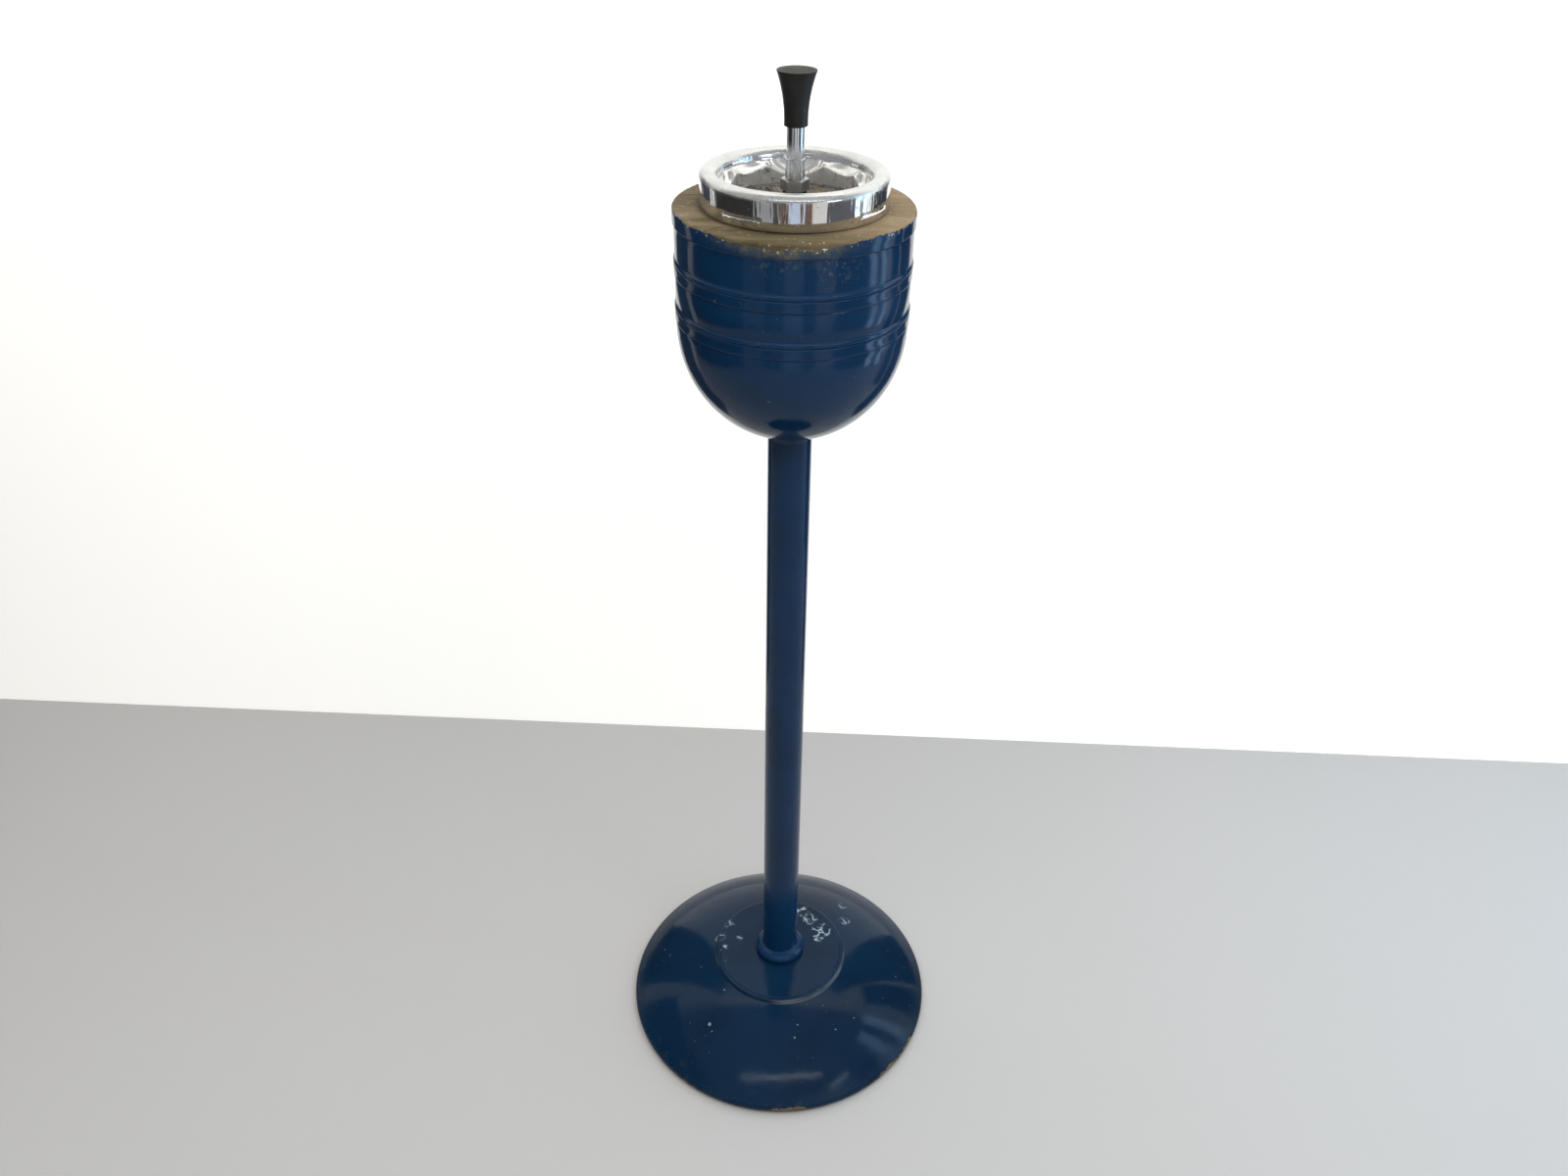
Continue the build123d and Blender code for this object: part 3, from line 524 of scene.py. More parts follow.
def rest_metal():
    look = Look("tarnished_chrome")
    haze = look.noise(90.0, 5.0, 0.65)
    specks = look.span(look.noise(300.0, 4.0, 0.65), 0.60, 0.68)
    tarnish = look.span(haze, 0.38, 0.66)
    colour = look.mix(look.times(tarnish, 0.7), rgb(228, 228, 226), rgb(176, 173, 166))
    colour = look.mix(look.times(specks, 0.75), colour, rgb(52, 44, 36))
    rough = look.span(haze, 0.3, 0.7, 0.07, 0.24)
    height = look.plus(look.noise(420.0, 3.0), look.times(haze, 1.2))
    dull = look.span(haze, 0.3, 0.7, 0.10, 0.42)
    return look.finish(
        Base_Color=colour,
        Metallic=look.less(1.0, dull),
        Roughness=rough,
        Normal=look.bump(height, 0.00009, 0.5),
    )


def burnt_plate():
    look = Look("burnt_plate")
    radius = radius_of(look)
    cloud = look.noise(60.0, 5.0, 0.65)
    spots = look.noise(150.0, 4.0, 0.7, distortion=0.8)
    colour = look.mix(look.span(cloud, 0.35, 0.65), rgb(112, 110, 102), rgb(150, 148, 140))
    burn = look.span(spots, 0.50, 0.57)
    colour = look.mix(look.times(burn, 0.85), colour, rgb(92, 74, 50))
    elsewhere = look.stretched(1.0, 1.0, 1.0, (0.31, 0.17, 0.0))
    char = look.span(look.noise(170.0, 4.0, 0.7, elsewhere), 0.54, 0.585)
    colour = look.mix(look.times(char, 0.95), colour, rgb(30, 24, 18))
    worn = look.most(burn, char)
    # Painted shadow: the plate is darkened in a ring round the foot of the hub, where the hub's
    # shade falls.
    centre = look.span(radius, 0.008, 0.014, 0.8, 0.0)
    colour = look.mix(centre, colour, rgb(40, 34, 28))
    rough = look.blend(worn, look.span(cloud, 0.3, 0.7, 0.26, 0.46), 0.72)
    metal = look.blend(worn, 0.9, 0.25)
    height = look.plus(look.noise(500.0, 3.0), look.times(worn, 0.9))
    return look.finish(
        Base_Color=colour, Metallic=metal, Roughness=rough, Normal=look.bump(height, 0.00012, 0.5)
    )


def plain_metal(name, colour, dark, low, high, fleck, turned, scale):
    look = Look(name)
    cloud = look.noise(scale, 4.0, 0.6)
    flecks = look.span(look.noise(scale * 5, 3.0, 0.6), 0.64, 0.72)
    tint = look.mix(look.span(cloud, 0.35, 0.7, 0.0, 0.6), rgb(*colour), rgb(*dark))
    tint = look.mix(look.times(flecks, fleck), tint, rgb(*[v * 0.45 for v in dark]))
    rough = look.span(cloud, 0.3, 0.7, low, high)
    height = look.noise(700.0, 2.0)
    if turned:
        lines = look.noise(1.0, 2.0, 0.5, look.stretched(60.0, 60.0, 5200.0))
        height = look.plus(height, look.times(lines, 0.8))
    normal = look.bump(height, 0.00005, 0.4)
    return look.finish(Base_Color=tint, Metallic=1.0, Roughness=rough, Normal=normal)


def knob_plastic():
    look = Look("moulded_plastic")
    z = look.axes()[2]
    grime = look.noise(130.0, 4.0, 0.65)
    scuffs = look.span(look.noise(500.0, 3.0, 0.6), 0.62, 0.72)
    colour = look.mix(look.span(grime, 0.4, 0.7), rgb(20, 20, 19), rgb(30, 29, 28))
    top = look.span(z, 0.6868, 0.6877)
    colour = look.mix(look.times(top, 0.5), colour, rgb(40, 38, 30))
    colour = look.mix(look.times(scuffs, 0.25), colour, rgb(96, 92, 84))
    rough = look.plus(look.span(grime, 0.3, 0.7, 0.36, 0.50), look.times(top, 0.25))
    height = look.plus(look.noise(900.0, 2.0), look.times(grime, 1.2))
    return look.finish(
        Base_Color=colour,
        Roughness=rough,
        Normal=look.bump(height, 0.00006, 0.5),
        Specular_IOR_Level=0.35,
    )


def felt():
    look = Look("wool_felt")
    fibre = look.noise(1500.0, 4.0, 0.7)
    cloud = look.noise(40.0, 3.0)
    colour = look.mix(look.span(fibre, 0.35, 0.65), rgb(52, 62, 52), rgb(86, 98, 84))
    colour = look.mix(look.span(cloud, 0.5, 0.7, 0.0, 0.3), colour, rgb(112, 108, 92))
    normal = look.bump(fibre, 0.0004, 0.7)
    return look.finish(Base_Color=colour, Roughness=0.95, Normal=normal, Sheen_Weight=0.3)


paint_on_column = painted_column()
paint_on_bowl = painted_bowl()
paint_on_base = painted_base()
rim_chrome = chrome_rim()
rest_chrome = rest_metal()
plate_metal = burnt_plate()
# name: colour, darker colour, least and most roughness, flecks, turned lines, scale
STEEL_SCALE = 120.0
METALS = {
    "bright_stem": ((222, 223, 226), (196, 198, 202), 0.05, 0.13, 0.25, True, STEEL_SCALE),
    "dull_hub": ((206, 207, 208), (166, 166, 164), 0.16, 0.30, 0.5, True, STEEL_SCALE),
    "dull_nut": ((172, 172, 170), (134, 132, 126), 0.28, 0.42, 0.6, False, STEEL_SCALE),
    "dark_neck": ((58, 56, 54), (36, 33, 30), 0.4, 0.6, 0.5, True, STEEL_SCALE),
    "drum_steel": ((176, 174, 166), (132, 124, 108), 0.25, 0.42, 0.6, True, 40.0),
    "zinc_plate": ((186, 188, 190), (150, 150, 146), 0.24, 0.40, 0.4, True, STEEL_SCALE),
    "spindle_steel": ((170, 168, 162), (132, 126, 114), 0.22, 0.36, 0.4, False, STEEL_SCALE),
    "spring_wire": ((176, 176, 172), (140, 136, 126), 0.18, 0.30, 0.4, False, 200.0),
    "brass": ((206, 172, 96), (168, 132, 62), 0.20, 0.36, 0.4, False, STEEL_SCALE),
}
metals = {name: plain_metal(name, *values) for name, values in METALS.items()}
knob_black = knob_plastic()
felt_green = felt()

for node, material in {
    "base_felt": felt_green,
    "base_screw": metals["zinc_plate"],
    "base_washer": metals["zinc_plate"],
    "bowl_screw": metals["zinc_plate"],
    "bowl_washer": metals["zinc_plate"],
    "ash_drum": metals["drum_steel"],
    "crossbar": metals["zinc_plate"],
    "crossbar_rivets": metals["zinc_plate"],
    "drive_spindle": metals["spindle_steel"],
    "spindle_stop": metals["zinc_plate"],
    "spindle_nut": metals["brass"],
    "return_spring": metals["spring_wire"],
    "thrust_washer": metals["brass"],
    "drive_nut": metals["brass"],
    "hub_cap": metals["dull_hub"],
    "hub_spacer": metals["dark_neck"],
    "hub_nut": metals["dull_nut"],
    "spin_plate": plate_metal,
    "hub_sleeve": metals["dull_hub"],
    "stem": metals["bright_stem"],
    "knob": knob_black,
    "lid_rim": rim_chrome,
    "cigarette_rest": rest_chrome,
    "column": paint_on_column,
    "foot_collar": paint_on_column,
    "top_collar": paint_on_column,
    "base_disc": paint_on_base,
    "bowl": paint_on_bowl,
}.items():
    mesh = bpy.data.objects[node].data
    mesh.materials.clear()
    mesh.materials.append(material)


# ---------------------------------------------------------------- wooden stand
SCREW_R = 3.2
TENON_R = 9.5
BASE_TOP = 46.4
STEP_R = 47.6
SOCKET_FLOOR = 21.2
SCREW_POCKET_TOP = 17.2
POCKET_R = 12.0
FELT_SEAT = 1.6
UNDERSIDE = 0.8
RIM_TOP = (111.7, 8.2)
bead_foot = (STEP_R + 1.8, BASE_TOP - 4.4)
bead_top = (STEP_R, BASE_TOP - 1.8)
bead_inside = (STEP_R - 1.4, BASE_TOP - 1.5)
base_profile = join(
    run((TENON_R, SOCKET_FLOOR), (SCREW_R, SOCKET_FLOOR), 1),
    run((SCREW_R, SOCKET_FLOOR), (SCREW_R, SCREW_POCKET_TOP), 1),
    run((POCKET_R, SCREW_POCKET_TOP), (POCKET_R, UNDERSIDE), 2),
    run((22.0, UNDERSIDE), (22.0, FELT_SEAT), 1),
    run((22.0, FELT_SEAT), (104.0, FELT_SEAT), 6),
    run((104.0, FELT_SEAT), (104.0, UNDERSIDE), 1),
    run((104.0, UNDERSIDE), (110.4, UNDERSIDE), 2),
    arc((110.4, UNDERSIDE), (113.4, 4.2), RIM_TOP, 16),
    arc(RIM_TOP, (83.2, 28.9), bead_foot, 48),
    arc(bead_foot, (STEP_R + 1.6, BASE_TOP - 2.6), bead_top, 10),
    arc(bead_top, (STEP_R - 0.8, BASE_TOP - 1.9), bead_inside, 5),
    arc(bead_inside, (33.0, BASE_TOP - 0.5), (19.0, BASE_TOP), 16),
    run((19.0, BASE_TOP), (TENON_R, BASE_TOP), 3),
    run((TENON_R, BASE_TOP), (TENON_R, SOCKET_FLOOR), 4),
)
base = lathe("turned_base", base_profile, paint_on_base, 256)
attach(base, "stand")
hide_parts("base_disc")

COLUMN_R = 12.8
COLLAR_TOP = BASE_TOP + 8.6
collar_shoulder = (15.0, BASE_TOP + 7.8)
collar_profile = join(
    run((COLUMN_R, BASE_TOP), (16.9, BASE_TOP), 2),
    arc((16.9, BASE_TOP), (18.4, BASE_TOP + 3.8), collar_shoulder, 16),
    arc(collar_shoulder, (13.8, BASE_TOP + 8.0), (COLUMN_R, COLLAR_TOP), 5),
    run((COLUMN_R, COLLAR_TOP), (COLUMN_R, BASE_TOP), 2),
)
collar = lathe("turned_foot_collar", collar_profile, paint_on_column, 96)
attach(collar, "stand")
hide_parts("foot_collar")

BOWL_TOP = 622.0
BOWL_R = 62.9
BAND_R = 63.6
BOWL_ROUND_Z = 558.5
BOWL_ROUND_DEPTH = 65.8
BOWL_BOTTOM = 494.6
BEAD_TOPS = (571.0, 595.7)
BAND_FOOT = 614.2
BORE_R = 46.0
BORE_FLOOR = 562.0
BOWL_POCKET_FLOOR = 555.6
BOWL_SOCKET_TOP = 526.6
ROUND_STEPS = 40
foot_angle = -math.asin((BOWL_ROUND_Z - BOWL_BOTTOM) / BOWL_ROUND_DEPTH)
round_points = []
for share in range(ROUND_STEPS, -1, -1):
    slant = foot_angle * share / ROUND_STEPS
    height = BOWL_ROUND_Z + BOWL_ROUND_DEPTH * math.sin(slant)
    round_points.append((BOWL_R * math.cos(slant), height))


def bead(top_z):
    """A turned bead: a fine groove, a plain band, then a ridge and its shoulder at the top."""
    groove, crown = BOWL_R - 0.25, BOWL_R + 0.5
    dip = (BOWL_R + 0.12, top_z - 3.1)
    plain_top = (BOWL_R + 0.55, top_z - 4.0)
    shoulder = (BOWL_R - 0.05, top_z)
    return join(
        [(BOWL_R, top_z - 10.0), (BOWL_R - 0.2, top_z - 9.6), (groove, top_z - 9.4)],
        arc((groove, top_z - 9.4), (BOWL_R + 0.38, top_z - 8.9), (crown, top_z - 7.9), 8),
        run((crown, top_z - 7.9), plain_top, 3),
        arc(plain_top, (BOWL_R + 0.42, top_z - 3.4), dip, 6),
        arc(dip, (BOWL_R + 0.22, top_z - 2.8), (crown, top_z - 2.5), 4),
        arc((crown, top_z - 2.5), (BOWL_R + 0.72, top_z - 1.4), shoulder, 12),
        arc(shoulder, (BOWL_R - 0.12, top_z + 0.3), (BOWL_R, top_z + 0.8), 4),
    )


bowl_profile = join(
    round_points,
    *[bead(top_z) for top_z in BEAD_TOPS],
    run((BOWL_R, 597.0), (BOWL_R, BAND_FOOT - 1.0), 4),
    arc((BOWL_R, BAND_FOOT - 1.0), (BOWL_R + 0.25, BAND_FOOT - 0.3), (BAND_R, BAND_FOOT), 4),
    run((BAND_R, BAND_FOOT), (BAND_R, BOWL_TOP - 1.4), 6),
    arc((BAND_R, BOWL_TOP - 1.4), (BAND_R - 0.5, BOWL_TOP - 0.4), (BAND_R - 1.6, BOWL_TOP), 8),
    run((BAND_R - 1.6, BOWL_TOP), (BORE_R + 0.6, BOWL_TOP), 12),
    run((BORE_R + 0.6, BOWL_TOP), (BORE_R, BOWL_TOP - 0.6), 1),
    run((BORE_R, BOWL_TOP - 0.6), (BORE_R, BORE_FLOOR), 6),
    run((BORE_R, BORE_FLOOR), (POCKET_R, BORE_FLOOR), 4),
    run((POCKET_R, BORE_FLOOR), (POCKET_R, BOWL_POCKET_FLOOR), 1),
    run((POCKET_R, BOWL_POCKET_FLOOR), (SCREW_R, BOWL_POCKET_FLOOR), 1),
    run((SCREW_R, BOWL_POCKET_FLOOR), (SCREW_R, BOWL_SOCKET_TOP), 1),
    run((SCREW_R, BOWL_SOCKET_TOP), (TENON_R, BOWL_SOCKET_TOP), 1),
    run((TENON_R, BOWL_SOCKET_TOP), (TENON_R, BOWL_BOTTOM), 2),
)


def worn_top(r, z, angle):
    """The top face sags and lifts by a few tenths where the bare wood has dried and split."""
    if z < 619.0:
        return r, z
    wave = math.sin(3 * angle + 0.6) + 0.6 * math.sin(7 * angle + 2.1) + 0.4 * math.sin(13 * angle)
    drop = 0.10 * (wave + 2.0)
    return r - (0.12 * (1 + math.sin(5 * angle)) if r > 60 else 0.0), z - drop


bowl = lathe("turned_bowl", bowl_profile, paint_on_bowl, 256, worn_top)
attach(bowl, "stand")
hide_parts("bowl")

# ---------------------------------------------------------------- chrome lid
RIM_R = 49.2
RIM_FOOT_R = 48.8
RIM_FOOT = 622.3
ROLL_R = 45.0
ROLL_Z = 636.0
RIM_INSIDE_R = 39.0
RIM_INSIDE_FOOT = 623.2
QUARTER = [math.pi / 2 * i / 14 for i in range(15)]
DENT_CENTRES = [math.radians(-123.0 + 90.0 * k) for k in range(4)]
DENT_HALF = math.radians(12.0)
DENT_Z = 627.0
DENT_DEPTH = 0.95


def pressed_skirt(r, z, angle):
    """Four short capsule-shaped dents pressed low in the skirt."""
    if r < 48.0 or not 624.0 < z < 630.5:
        return r, z
    depth = 0.0
    for centre in DENT_CENTRES:
        off = abs(turn_from(angle, centre))
        along = max(0.0, off - DENT_HALF) * RIM_R
        across = z - DENT_Z
        depth = max(depth, 1.0 - (along * along + across * across) / 1.9)
    return r - DENT_DEPTH * math.sqrt(max(0.0, depth)), z


rim_profile = join(
    run((48.0, RIM_FOOT), (RIM_FOOT_R, RIM_FOOT), 1),
    run((RIM_FOOT_R, RIM_FOOT), (RIM_FOOT_R + 0.12, 624.4), 2),
    run((RIM_FOOT_R + 0.12, 624.4), (RIM_FOOT_R + 0.25, 629.8), 18),
    run((RIM_FOOT_R + 0.25, 629.8), (RIM_R, ROLL_Z), 6),
    [(ROLL_R + 4.2 * math.cos(turn), ROLL_Z + 4.0 * math.sin(turn)) for turn in QUARTER],
    [(ROLL_R - 5.4 * math.sin(turn), ROLL_Z + 0.2 + 3.8 * math.cos(turn)) for turn in QUARTER],
    arc((39.6, 636.2), (39.2, 635.3), (RIM_INSIDE_R, 634.2), 4),
    run((RIM_INSIDE_R, 634.2), (RIM_INSIDE_R, RIM_INSIDE_FOOT), 6),
    run((RIM_INSIDE_R, RIM_INSIDE_FOOT), (39.7, RIM_INSIDE_FOOT), 1),
    run((39.7, RIM_INSIDE_FOOT), (39.7, 634.6), 4),
    arc((39.7, 634.6), (44.6, 639.2), (48.4, 635.6), 12),
    run((48.4, 635.6), (48.0, RIM_FOOT), 6),
)
rim = lathe("pressed_lid_rim", rim_profile, rim_chrome, 384, pressed_skirt)
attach(rim, "lid")
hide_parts("lid_rim")

# ---------------------------------------------------------------- cigarette rest
REST_IN = 33.6
REST_OUT = 38.9
REST_FOOT = 622.8
REST_CREST = 634.6
SLOPE = math.tan(math.radians(16.0))
# Height of the lip and radius of the trough, for the four deep and the four shallow troughs.
TROUGHS = ((627.0, 17.9), (630.5, 22.3))
EIGHTH = math.radians(45.0)


def soft_min(a, b, width):
    """The lower of two heights, with the corner between them rounded."""
    h = max(width - abs(a - b), 0.0) / width
    return min(a, b) - h * h * width / 4


def rest_height(r, angle):
    """Top of the wavy ring: eight troughs that slope outward, with horns between them."""
    height = min(REST_CREST, 631.0 + (r - REST_IN) * 1.5)
    for k in range(8):
        off = turn_from(angle, EIGHTH * k)
        if abs(off) > math.radians(40.0):
            continue
        lip, radius = TROUGHS[k % 2]
        side = abs(r * math.sin(off))
        along = r * math.cos(off)
        if side < radius - 0.5:
            hollow = radius - math.sqrt(radius * radius - side * side)
            trough = lip + (along - REST_IN) * SLOPE + hollow
            height = soft_min(height, trough, 0.9)
    rise = max(0.0, (r - 35.6) / (REST_OUT - 35.6)) ** 2.2
    return height + (634.4 - height) * rise


def rest_inside(angle):
    """The inner face steps outward between the horns, which leaves an upright fold under each."""
    fold = min(abs(turn_from(angle, EIGHTH * (k + 0.5))) for k in range(8))
    return REST_IN + 0.7 * min(1.0, fold / math.radians(7.0)) ** 0.7


def rest_ring(name, material, steps=720):
    """The pressed ring as one closed sheet: face, lip, sloping top, outer wall and underside."""
    section = []
    for depth in (0.0, 0.35, 0.7):
        section.append(("wall", 0.0, depth))
    section.append(("lip", 0.10, 0.42))
    section.append(("lip", 0.38, 0.12))
    for share in (0.16, 0.28, 0.42, 0.56, 0.70, 0.84, 1.0):
        section.append(("top", share, 0.0))
    section.append(("outer", 0.0, 0.0))
    section.append(("under", 1.0, 0.0))
    section.append(("under", 0.5, 0.0))
    section.append(("under", 0.0, 0.0))
    section.append(("foot", 0.0, 0.0))
    bm = bmesh.new()
    rings = []
    for kind, a, b in section:
        ring = []
        for step in range(steps):
            angle = TAU * step / steps
            inner = rest_inside(angle)
            crest = rest_height(inner + 0.9, angle)
            if kind == "wall":
                r, z = inner, REST_FOOT + (crest - 0.9 - REST_FOOT) * b / 0.7
            elif kind == "lip":
                r, z = inner + a, crest - b
            elif kind == "top":
                r = inner + (REST_OUT - inner) * a
                z = rest_height(r, angle)
            elif kind == "outer":
                r, z = REST_OUT, REST_FOOT
            elif kind == "under":
                r = inner + 0.8 + (REST_OUT - 0.8 - inner - 0.8) * a
                z = rest_height(r, angle) - 1.0
            else:
                r, z = inner + 0.8, REST_FOOT
            if kind == "under" and a == 1.0:
                z = min(z, rest_height(REST_OUT, angle) - 1.0)
            ring.append(bm.verts.new(polar(r, z, angle)))
        rings.append(ring)
    for low, high in zip(rings, rings[1:] + rings[:1]):
        for step in range(steps):
            after = (step + 1) % steps
            bm.faces.new((low[step], low[after], high[after], high[step]))
    bmesh.ops.recalc_face_normals(bm, faces=bm.faces)
    for face in bm.faces:
        face.smooth = True
    for edge in bm.edges:
        if edge.calc_face_angle(0.0) > math.radians(50.0):
            edge.smooth = False
    return object_from(bm, name, material)


rest = rest_ring("pressed_cigarette_rest", rest_chrome)
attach(rest, "lid")
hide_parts("cigarette_rest")

# ---------------------------------------------------------------- plate, hub, stem, knob
HUB_R = 5.0
PLATE_R = 33.0
PLATE_LOW = 622.6
PLATE_TOP = 623.5
plate_profile = join(
    run((HUB_R, PLATE_LOW), (PLATE_R - 0.6, PLATE_LOW), 8),
    arc((PLATE_R - 0.6, PLATE_LOW), (PLATE_R, 622.95), (PLATE_R - 0.3, 623.4), 5),
    run((PLATE_R - 0.5, PLATE_TOP), (HUB_R, PLATE_TOP), 16),
)


def dished(r, z, angle):
    """The plate's upper face is uneven by a tenth or two from heat and knocks."""
    if z < 623.3:
        return r, z
    dent = math.sin(4 * angle + r * 0.21) + math.sin(9 * angle - r * 0.33)
    return r, z - 0.05 * (2.0 + dent) * min(1.0, (r - HUB_R) / 6.0)


plate = lathe("burnt_spin_plate", plate_profile, plate_metal, 192, dished)
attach(plate, "spinner")
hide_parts("spin_plate")

SLEEVE_TOP = 645.2
SLEEVE_BORE_R = 4.6
NECK_R = 6.4
NECK_TOP = 619.0
HOUSING_R = 7.6
HOUSING_FOOT = 612.6
FLANGE_R = 9.0
FLANGE_LOW = 620.6
sleeve_profile = join(
    run((SLEEVE_BORE_R, SLEEVE_TOP), (SLEEVE_BORE_R, NECK_TOP), 3),
    run((SLEEVE_BORE_R, NECK_TOP), (NECK_R, NECK_TOP), 1),
    run((NECK_R, NECK_TOP), (NECK_R, HOUSING_FOOT), 2),
    run((NECK_R, HOUSING_FOOT), (HOUSING_R, HOUSING_FOOT), 1),
    run((HOUSING_R, HOUSING_FOOT), (HOUSING_R, FLANGE_LOW), 2),
    run((HOUSING_R, FLANGE_LOW), (FLANGE_R, FLANGE_LOW), 1),
    run((FLANGE_R, FLANGE_LOW), (FLANGE_R, PLATE_LOW), 1),
    run((FLANGE_R, PLATE_LOW), (HUB_R, PLATE_LOW), 1),
    run((HUB_R, PLATE_LOW), (HUB_R, SLEEVE_TOP - 0.5), 16),
    arc((HUB_R, SLEEVE_TOP - 0.5), (4.9, 645.05), (4.7, SLEEVE_TOP), 4),
)
sleeve = lathe("turned_hub_sleeve", sleeve_profile, metals["dull_hub"], 96)
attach(sleeve, "spinner")
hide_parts("hub_sleeve")

STEM_R = 4.55
KNOB_FOOT = 660.8
KNOB_TOP = 688.0
KNOB_SOCKET_TOP = 676.0
DOME_R = 9.75
DOME_HEIGHT = 0.8
DOME_HALF_R = 4.9
knob_edge = (10.15, 686.8)
dome_sphere = (DOME_R**2 + DOME_HEIGHT**2) / (2 * DOME_HEIGHT)
dome_half_z = KNOB_TOP - dome_sphere + math.sqrt(dome_sphere**2 - DOME_HALF_R**2)
knob_profile = join(
    run((STEM_R, KNOB_SOCKET_TOP), (STEM_R, KNOB_FOOT), 4),
    run((STEM_R, KNOB_FOOT), (5.65, KNOB_FOOT), 1),
    arc((5.65, KNOB_FOOT), (5.93, 660.95), (6.05, 661.6), 4),
    arc((6.05, 661.6), (7.15, 675.6), knob_edge, 36),
    arc(knob_edge, (10.05, 687.1), (DOME_R, KNOB_TOP - DOME_HEIGHT), 4),
    arc((DOME_R, KNOB_TOP - DOME_HEIGHT), (DOME_HALF_R, dome_half_z), (0.0, KNOB_TOP), 10),
)
knob_profile = [(0.0, KNOB_SOCKET_TOP)] + knob_profile[:-1] + [(0.0, KNOB_TOP)]
knob = lathe("moulded_knob", knob_profile, knob_black, 128, closed=False)
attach(knob, "plunger")
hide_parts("knob")

# ---------------------------------------------------------------- return spring
SPRING_R = 5.6
WIRE_R = 0.54
SPRING_TURNS = 6
spring_low, spring_high = [corner[2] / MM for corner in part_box("return_spring")]


def coil_spring(name, material, around=64, sides=14):
    """A round wire wound about the Z axis between the crossbar and the hub, with closed ends."""
    bm = bmesh.new()
    rise = (spring_high - spring_low - 2.2 * WIRE_R) / (SPRING_TURNS * around)
    rings = []
    for step in range(SPRING_TURNS * around + 1):
        angle = TAU * step / around
        middle = spring_low + 1.1 * WIRE_R + rise * step
        ring = []
        for side in range(sides):
            about = TAU * side / sides
            r = SPRING_R + WIRE_R * math.cos(about)
            z = middle + WIRE_R * math.sin(about)
            ring.append(bm.verts.new(polar(r, z, angle)))
        rings.append(ring)
    for low, high in zip(rings, rings[1:]):
        for side in range(sides):
            after = (side + 1) % sides
            bm.faces.new((low[side], low[after], high[after], high[side]))
    bm.faces.new(rings[0])
    bm.faces.new(rings[-1])
    bmesh.ops.recalc_face_normals(bm, faces=bm.faces)
    for face in bm.faces:
        face.smooth = len(face.verts) == 4
    return object_from(bm, name, material)


spring = coil_spring("wound_return_spring", metals["spring_wire"])
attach(spring, "lid")
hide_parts("return_spring")
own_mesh(spring)

# ---------------------------------------------------------------- camera
camera_data = bpy.data.cameras.new("camera")
camera_data.sensor_width = 36.0
camera_data.lens = 28.19
camera = bpy.data.objects.new("camera", camera_data)
bpy.context.scene.collection.objects.link(camera)
pitch = math.radians(33.95)
roll = math.radians(1.04)
yaw = math.radians(-0.61)
ahead = Vector((math.sin(yaw) * math.cos(pitch), math.cos(yaw) * math.cos(pitch), -math.sin(pitch)))
level_right = Vector((math.cos(yaw), -math.sin(yaw), 0.0))
level_up = level_right.cross(ahead)
right = level_right * math.cos(roll) + level_up * math.sin(roll)
up = level_up * math.cos(roll) - level_right * math.sin(roll)
turn = Matrix((right, up, -ahead)).transposed()
camera.matrix_world = Matrix.Translation((0.005, -0.6371, 0.8115)) @ turn.to_4x4()
bpy.context.scene.camera = camera

# ---------------------------------------------------------------- stage and light
bpy.context.scene.view_settings.view_transform = "Standard"


def plain(name, colour, roughness):
    look = Look(name)
    tone = look.noise(1.1, 2.0)
    shade = look.mix(look.span(tone, 0.3, 0.7), rgb(*colour), rgb(*[v * 0.985 for v in colour]))
    return look.finish(Base_Color=shade, Roughness=roughness, Specular_IOR_Level=0.1)


def card(name, width, depth, centre, rotation, material):
    mesh = bpy.data.meshes.new(name)
    w, d = width / 2, depth / 2
    mesh.from_pydata([(-w, -d, 0), (w, -d, 0), (w, d, 0), (-w, d, 0)], [], [(0, 1, 2, 3)])
    piece = mesh_object(name, mesh, material)
    piece.rotation_euler = rotation
    piece.location = centre
    return piece


FLOOR_BACK = 0.3098
WALL_TURN = math.radians(-1.41)
floor_paper = plain("floor_paper", (171, 170, 169), 0.9)
wall_look = Look("wall_paper")
wall_paper = wall_look.finish(
    Base_Color=rgb(250, 249, 245),
    Roughness=0.9,
    Emission_Color=rgb(255, 252, 246),
    Emission_Strength=0.32,
)
# Seen from behind, the wall lets the view through to the object.
see_through = wall_look.node("ShaderNodeBsdfTransparent")
facing_away = wall_look.node("ShaderNodeNewGeometry").outputs["Backfacing"]
either = wall_look.node("ShaderNodeMixShader")
wall_look.feed(either.inputs[0], facing_away)
wall_look.feed(either.inputs[1], wall_look.shader.outputs[0])
wall_look.feed(either.inputs[2], see_through.outputs[0])
wall_look.feed(wall_look.tree.nodes["Material Output"].inputs["Surface"], either.outputs[0])
UPRIGHT = math.radians(90)
card("floor", 6.0, 6.0, (0.0, 0.0, 0.0), (0.0, 0.0, 0.0), floor_paper)
card("wall", 5.0, 3.2, (0.0, FLOOR_BACK, 1.6), (UPRIGHT, 0.0, WALL_TURN), wall_paper)


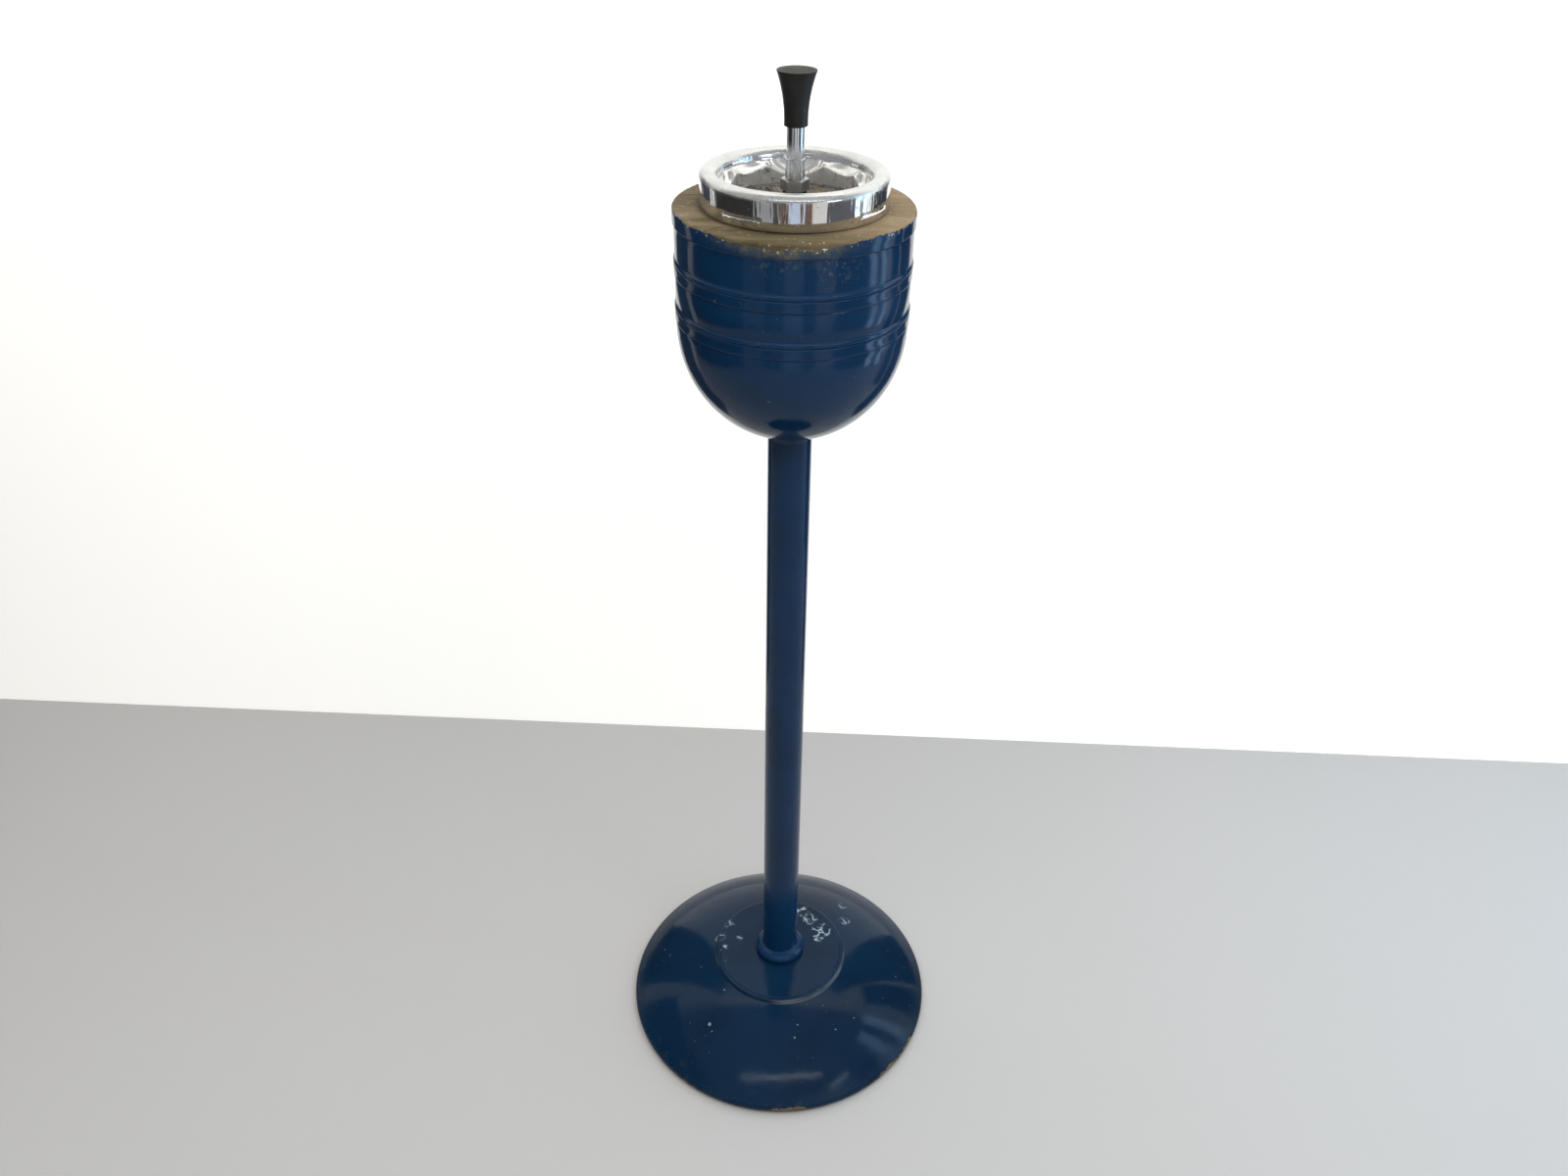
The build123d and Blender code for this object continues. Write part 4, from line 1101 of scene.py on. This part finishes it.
def room_card(name, azimuth, span, distance, low, high, colour, glow=0.0, shades=False):
    """A plain panel of the room, seen only in the object's gloss; azimuth 0 is the front."""
    look = Look(name)
    tone = look.noise(2.0, 2.0)
    shade = look.mix(look.span(tone, 0.3, 0.7), rgb(*colour), rgb(*[v * 0.93 for v in colour]))
    material = look.finish(
        Base_Color=shade, Roughness=0.9, Emission_Color=rgb(*colour), Emission_Strength=glow
    )
    around = math.radians(azimuth)
    place = (distance * math.sin(around), -distance * math.cos(around), (low + high) / 2)
    width = 2 * distance * math.tan(math.radians(span / 2))
    panel = card(name, width, high - low, place, (UPRIGHT, 0.0, around + math.pi), material)
    panel.visible_camera = False
    panel.visible_diffuse = shades
    panel.visible_shadow = shades
    return panel


room_card("room_dark_left", -77.0, 62.0, 0.98, 0.0, 0.74, (44, 41, 40), shades=True)
room_card("room_dark_right", 113.0, 20.0, 0.66, 0.0, 0.64, (50, 52, 58))
room_card("room_back_left", -128.0, 34.0, 0.40, 0.0, 0.74, (58, 62, 70))
room_card("room_back_right", 130.0, 30.0, 0.40, 0.0, 0.74, (58, 62, 70))
room_card("room_dim_right", 58.0, 34.0, 1.10, 0.0, 0.80, (104, 104, 108))
room_card("room_pale_left", -34.0, 18.0, 1.15, 0.0, 0.80, (150, 150, 152), 0.25)
room_card("room_grey", -21.0, 8.0, 1.15, 0.0, 0.80, (84, 80, 78))
room_card("room_brown", -11.5, 7.0, 1.15, 0.0, 0.80, (112, 84, 66))
room_card("room_blue", 2.0, 16.0, 1.15, 0.0, 0.80, (176, 188, 208), 0.55)
room_card("room_brown_right", 16.0, 12.0, 1.15, 0.0, 0.80, (124, 98, 82))
room_card("room_pale_right", 30.0, 16.0, 1.15, 0.0, 0.80, (206, 202, 198), 0.45)


def area(name, place, towards, width, height, power, colour, glossy=True):
    data = bpy.data.lights.new(name, "AREA")
    data.shape = "RECTANGLE"
    data.size = width
    data.size_y = height
    data.energy = power
    data.color = colour
    lamp = bpy.data.objects.new(name, data)
    bpy.context.scene.collection.objects.link(lamp)
    lamp.location = place
    lamp.rotation_euler = (Vector(towards) - Vector(place)).to_track_quat("-Z", "Y").to_euler()
    lamp.visible_glossy = glossy
    lamp.visible_camera = False
    return lamp


WARM = (1.0, 0.985, 0.96)
WARMER = (1.0, 0.98, 0.95)
WINDOW_BLUE = (0.42, 0.70, 1.0)
area("overhead", (0.3, -0.5, 2.3), (0.0, 0.0, 0.3), 2.4, 2.4, 38.0, WARM, glossy=False)
area("wall_wash", (0.0, -0.9, 1.9), (0.0, 0.31, 0.6), 2.6, 0.8, 16.0, WARMER, glossy=False)
area("front_strip", (0.10, -1.30, 1.66), (0.0, 0.0, 0.45), 1.7, 0.12, 3.2, (0.90, 0.95, 1.0))
area("front_right", (0.95, -0.92, 0.88), (0.0, 0.0, 0.1), 0.34, 0.30, 1.6, (0.72, 0.86, 1.0))
area("window_near", (0.99, -0.170, 0.50), (0.0, 0.0, 0.45), 0.13, 0.95, 1.5, WINDOW_BLUE)
area("window_far", (0.99, 0.060, 0.50), (0.0, 0.0, 0.45), 0.10, 0.95, 1.1, WINDOW_BLUE)

world = bpy.data.worlds.new("studio")
world.use_nodes = True
world.node_tree.nodes["Background"].inputs["Color"].default_value = (0.93, 0.96, 1.0, 1.0)
world.node_tree.nodes["Background"].inputs["Strength"].default_value = 0.35
bpy.context.scene.world = world
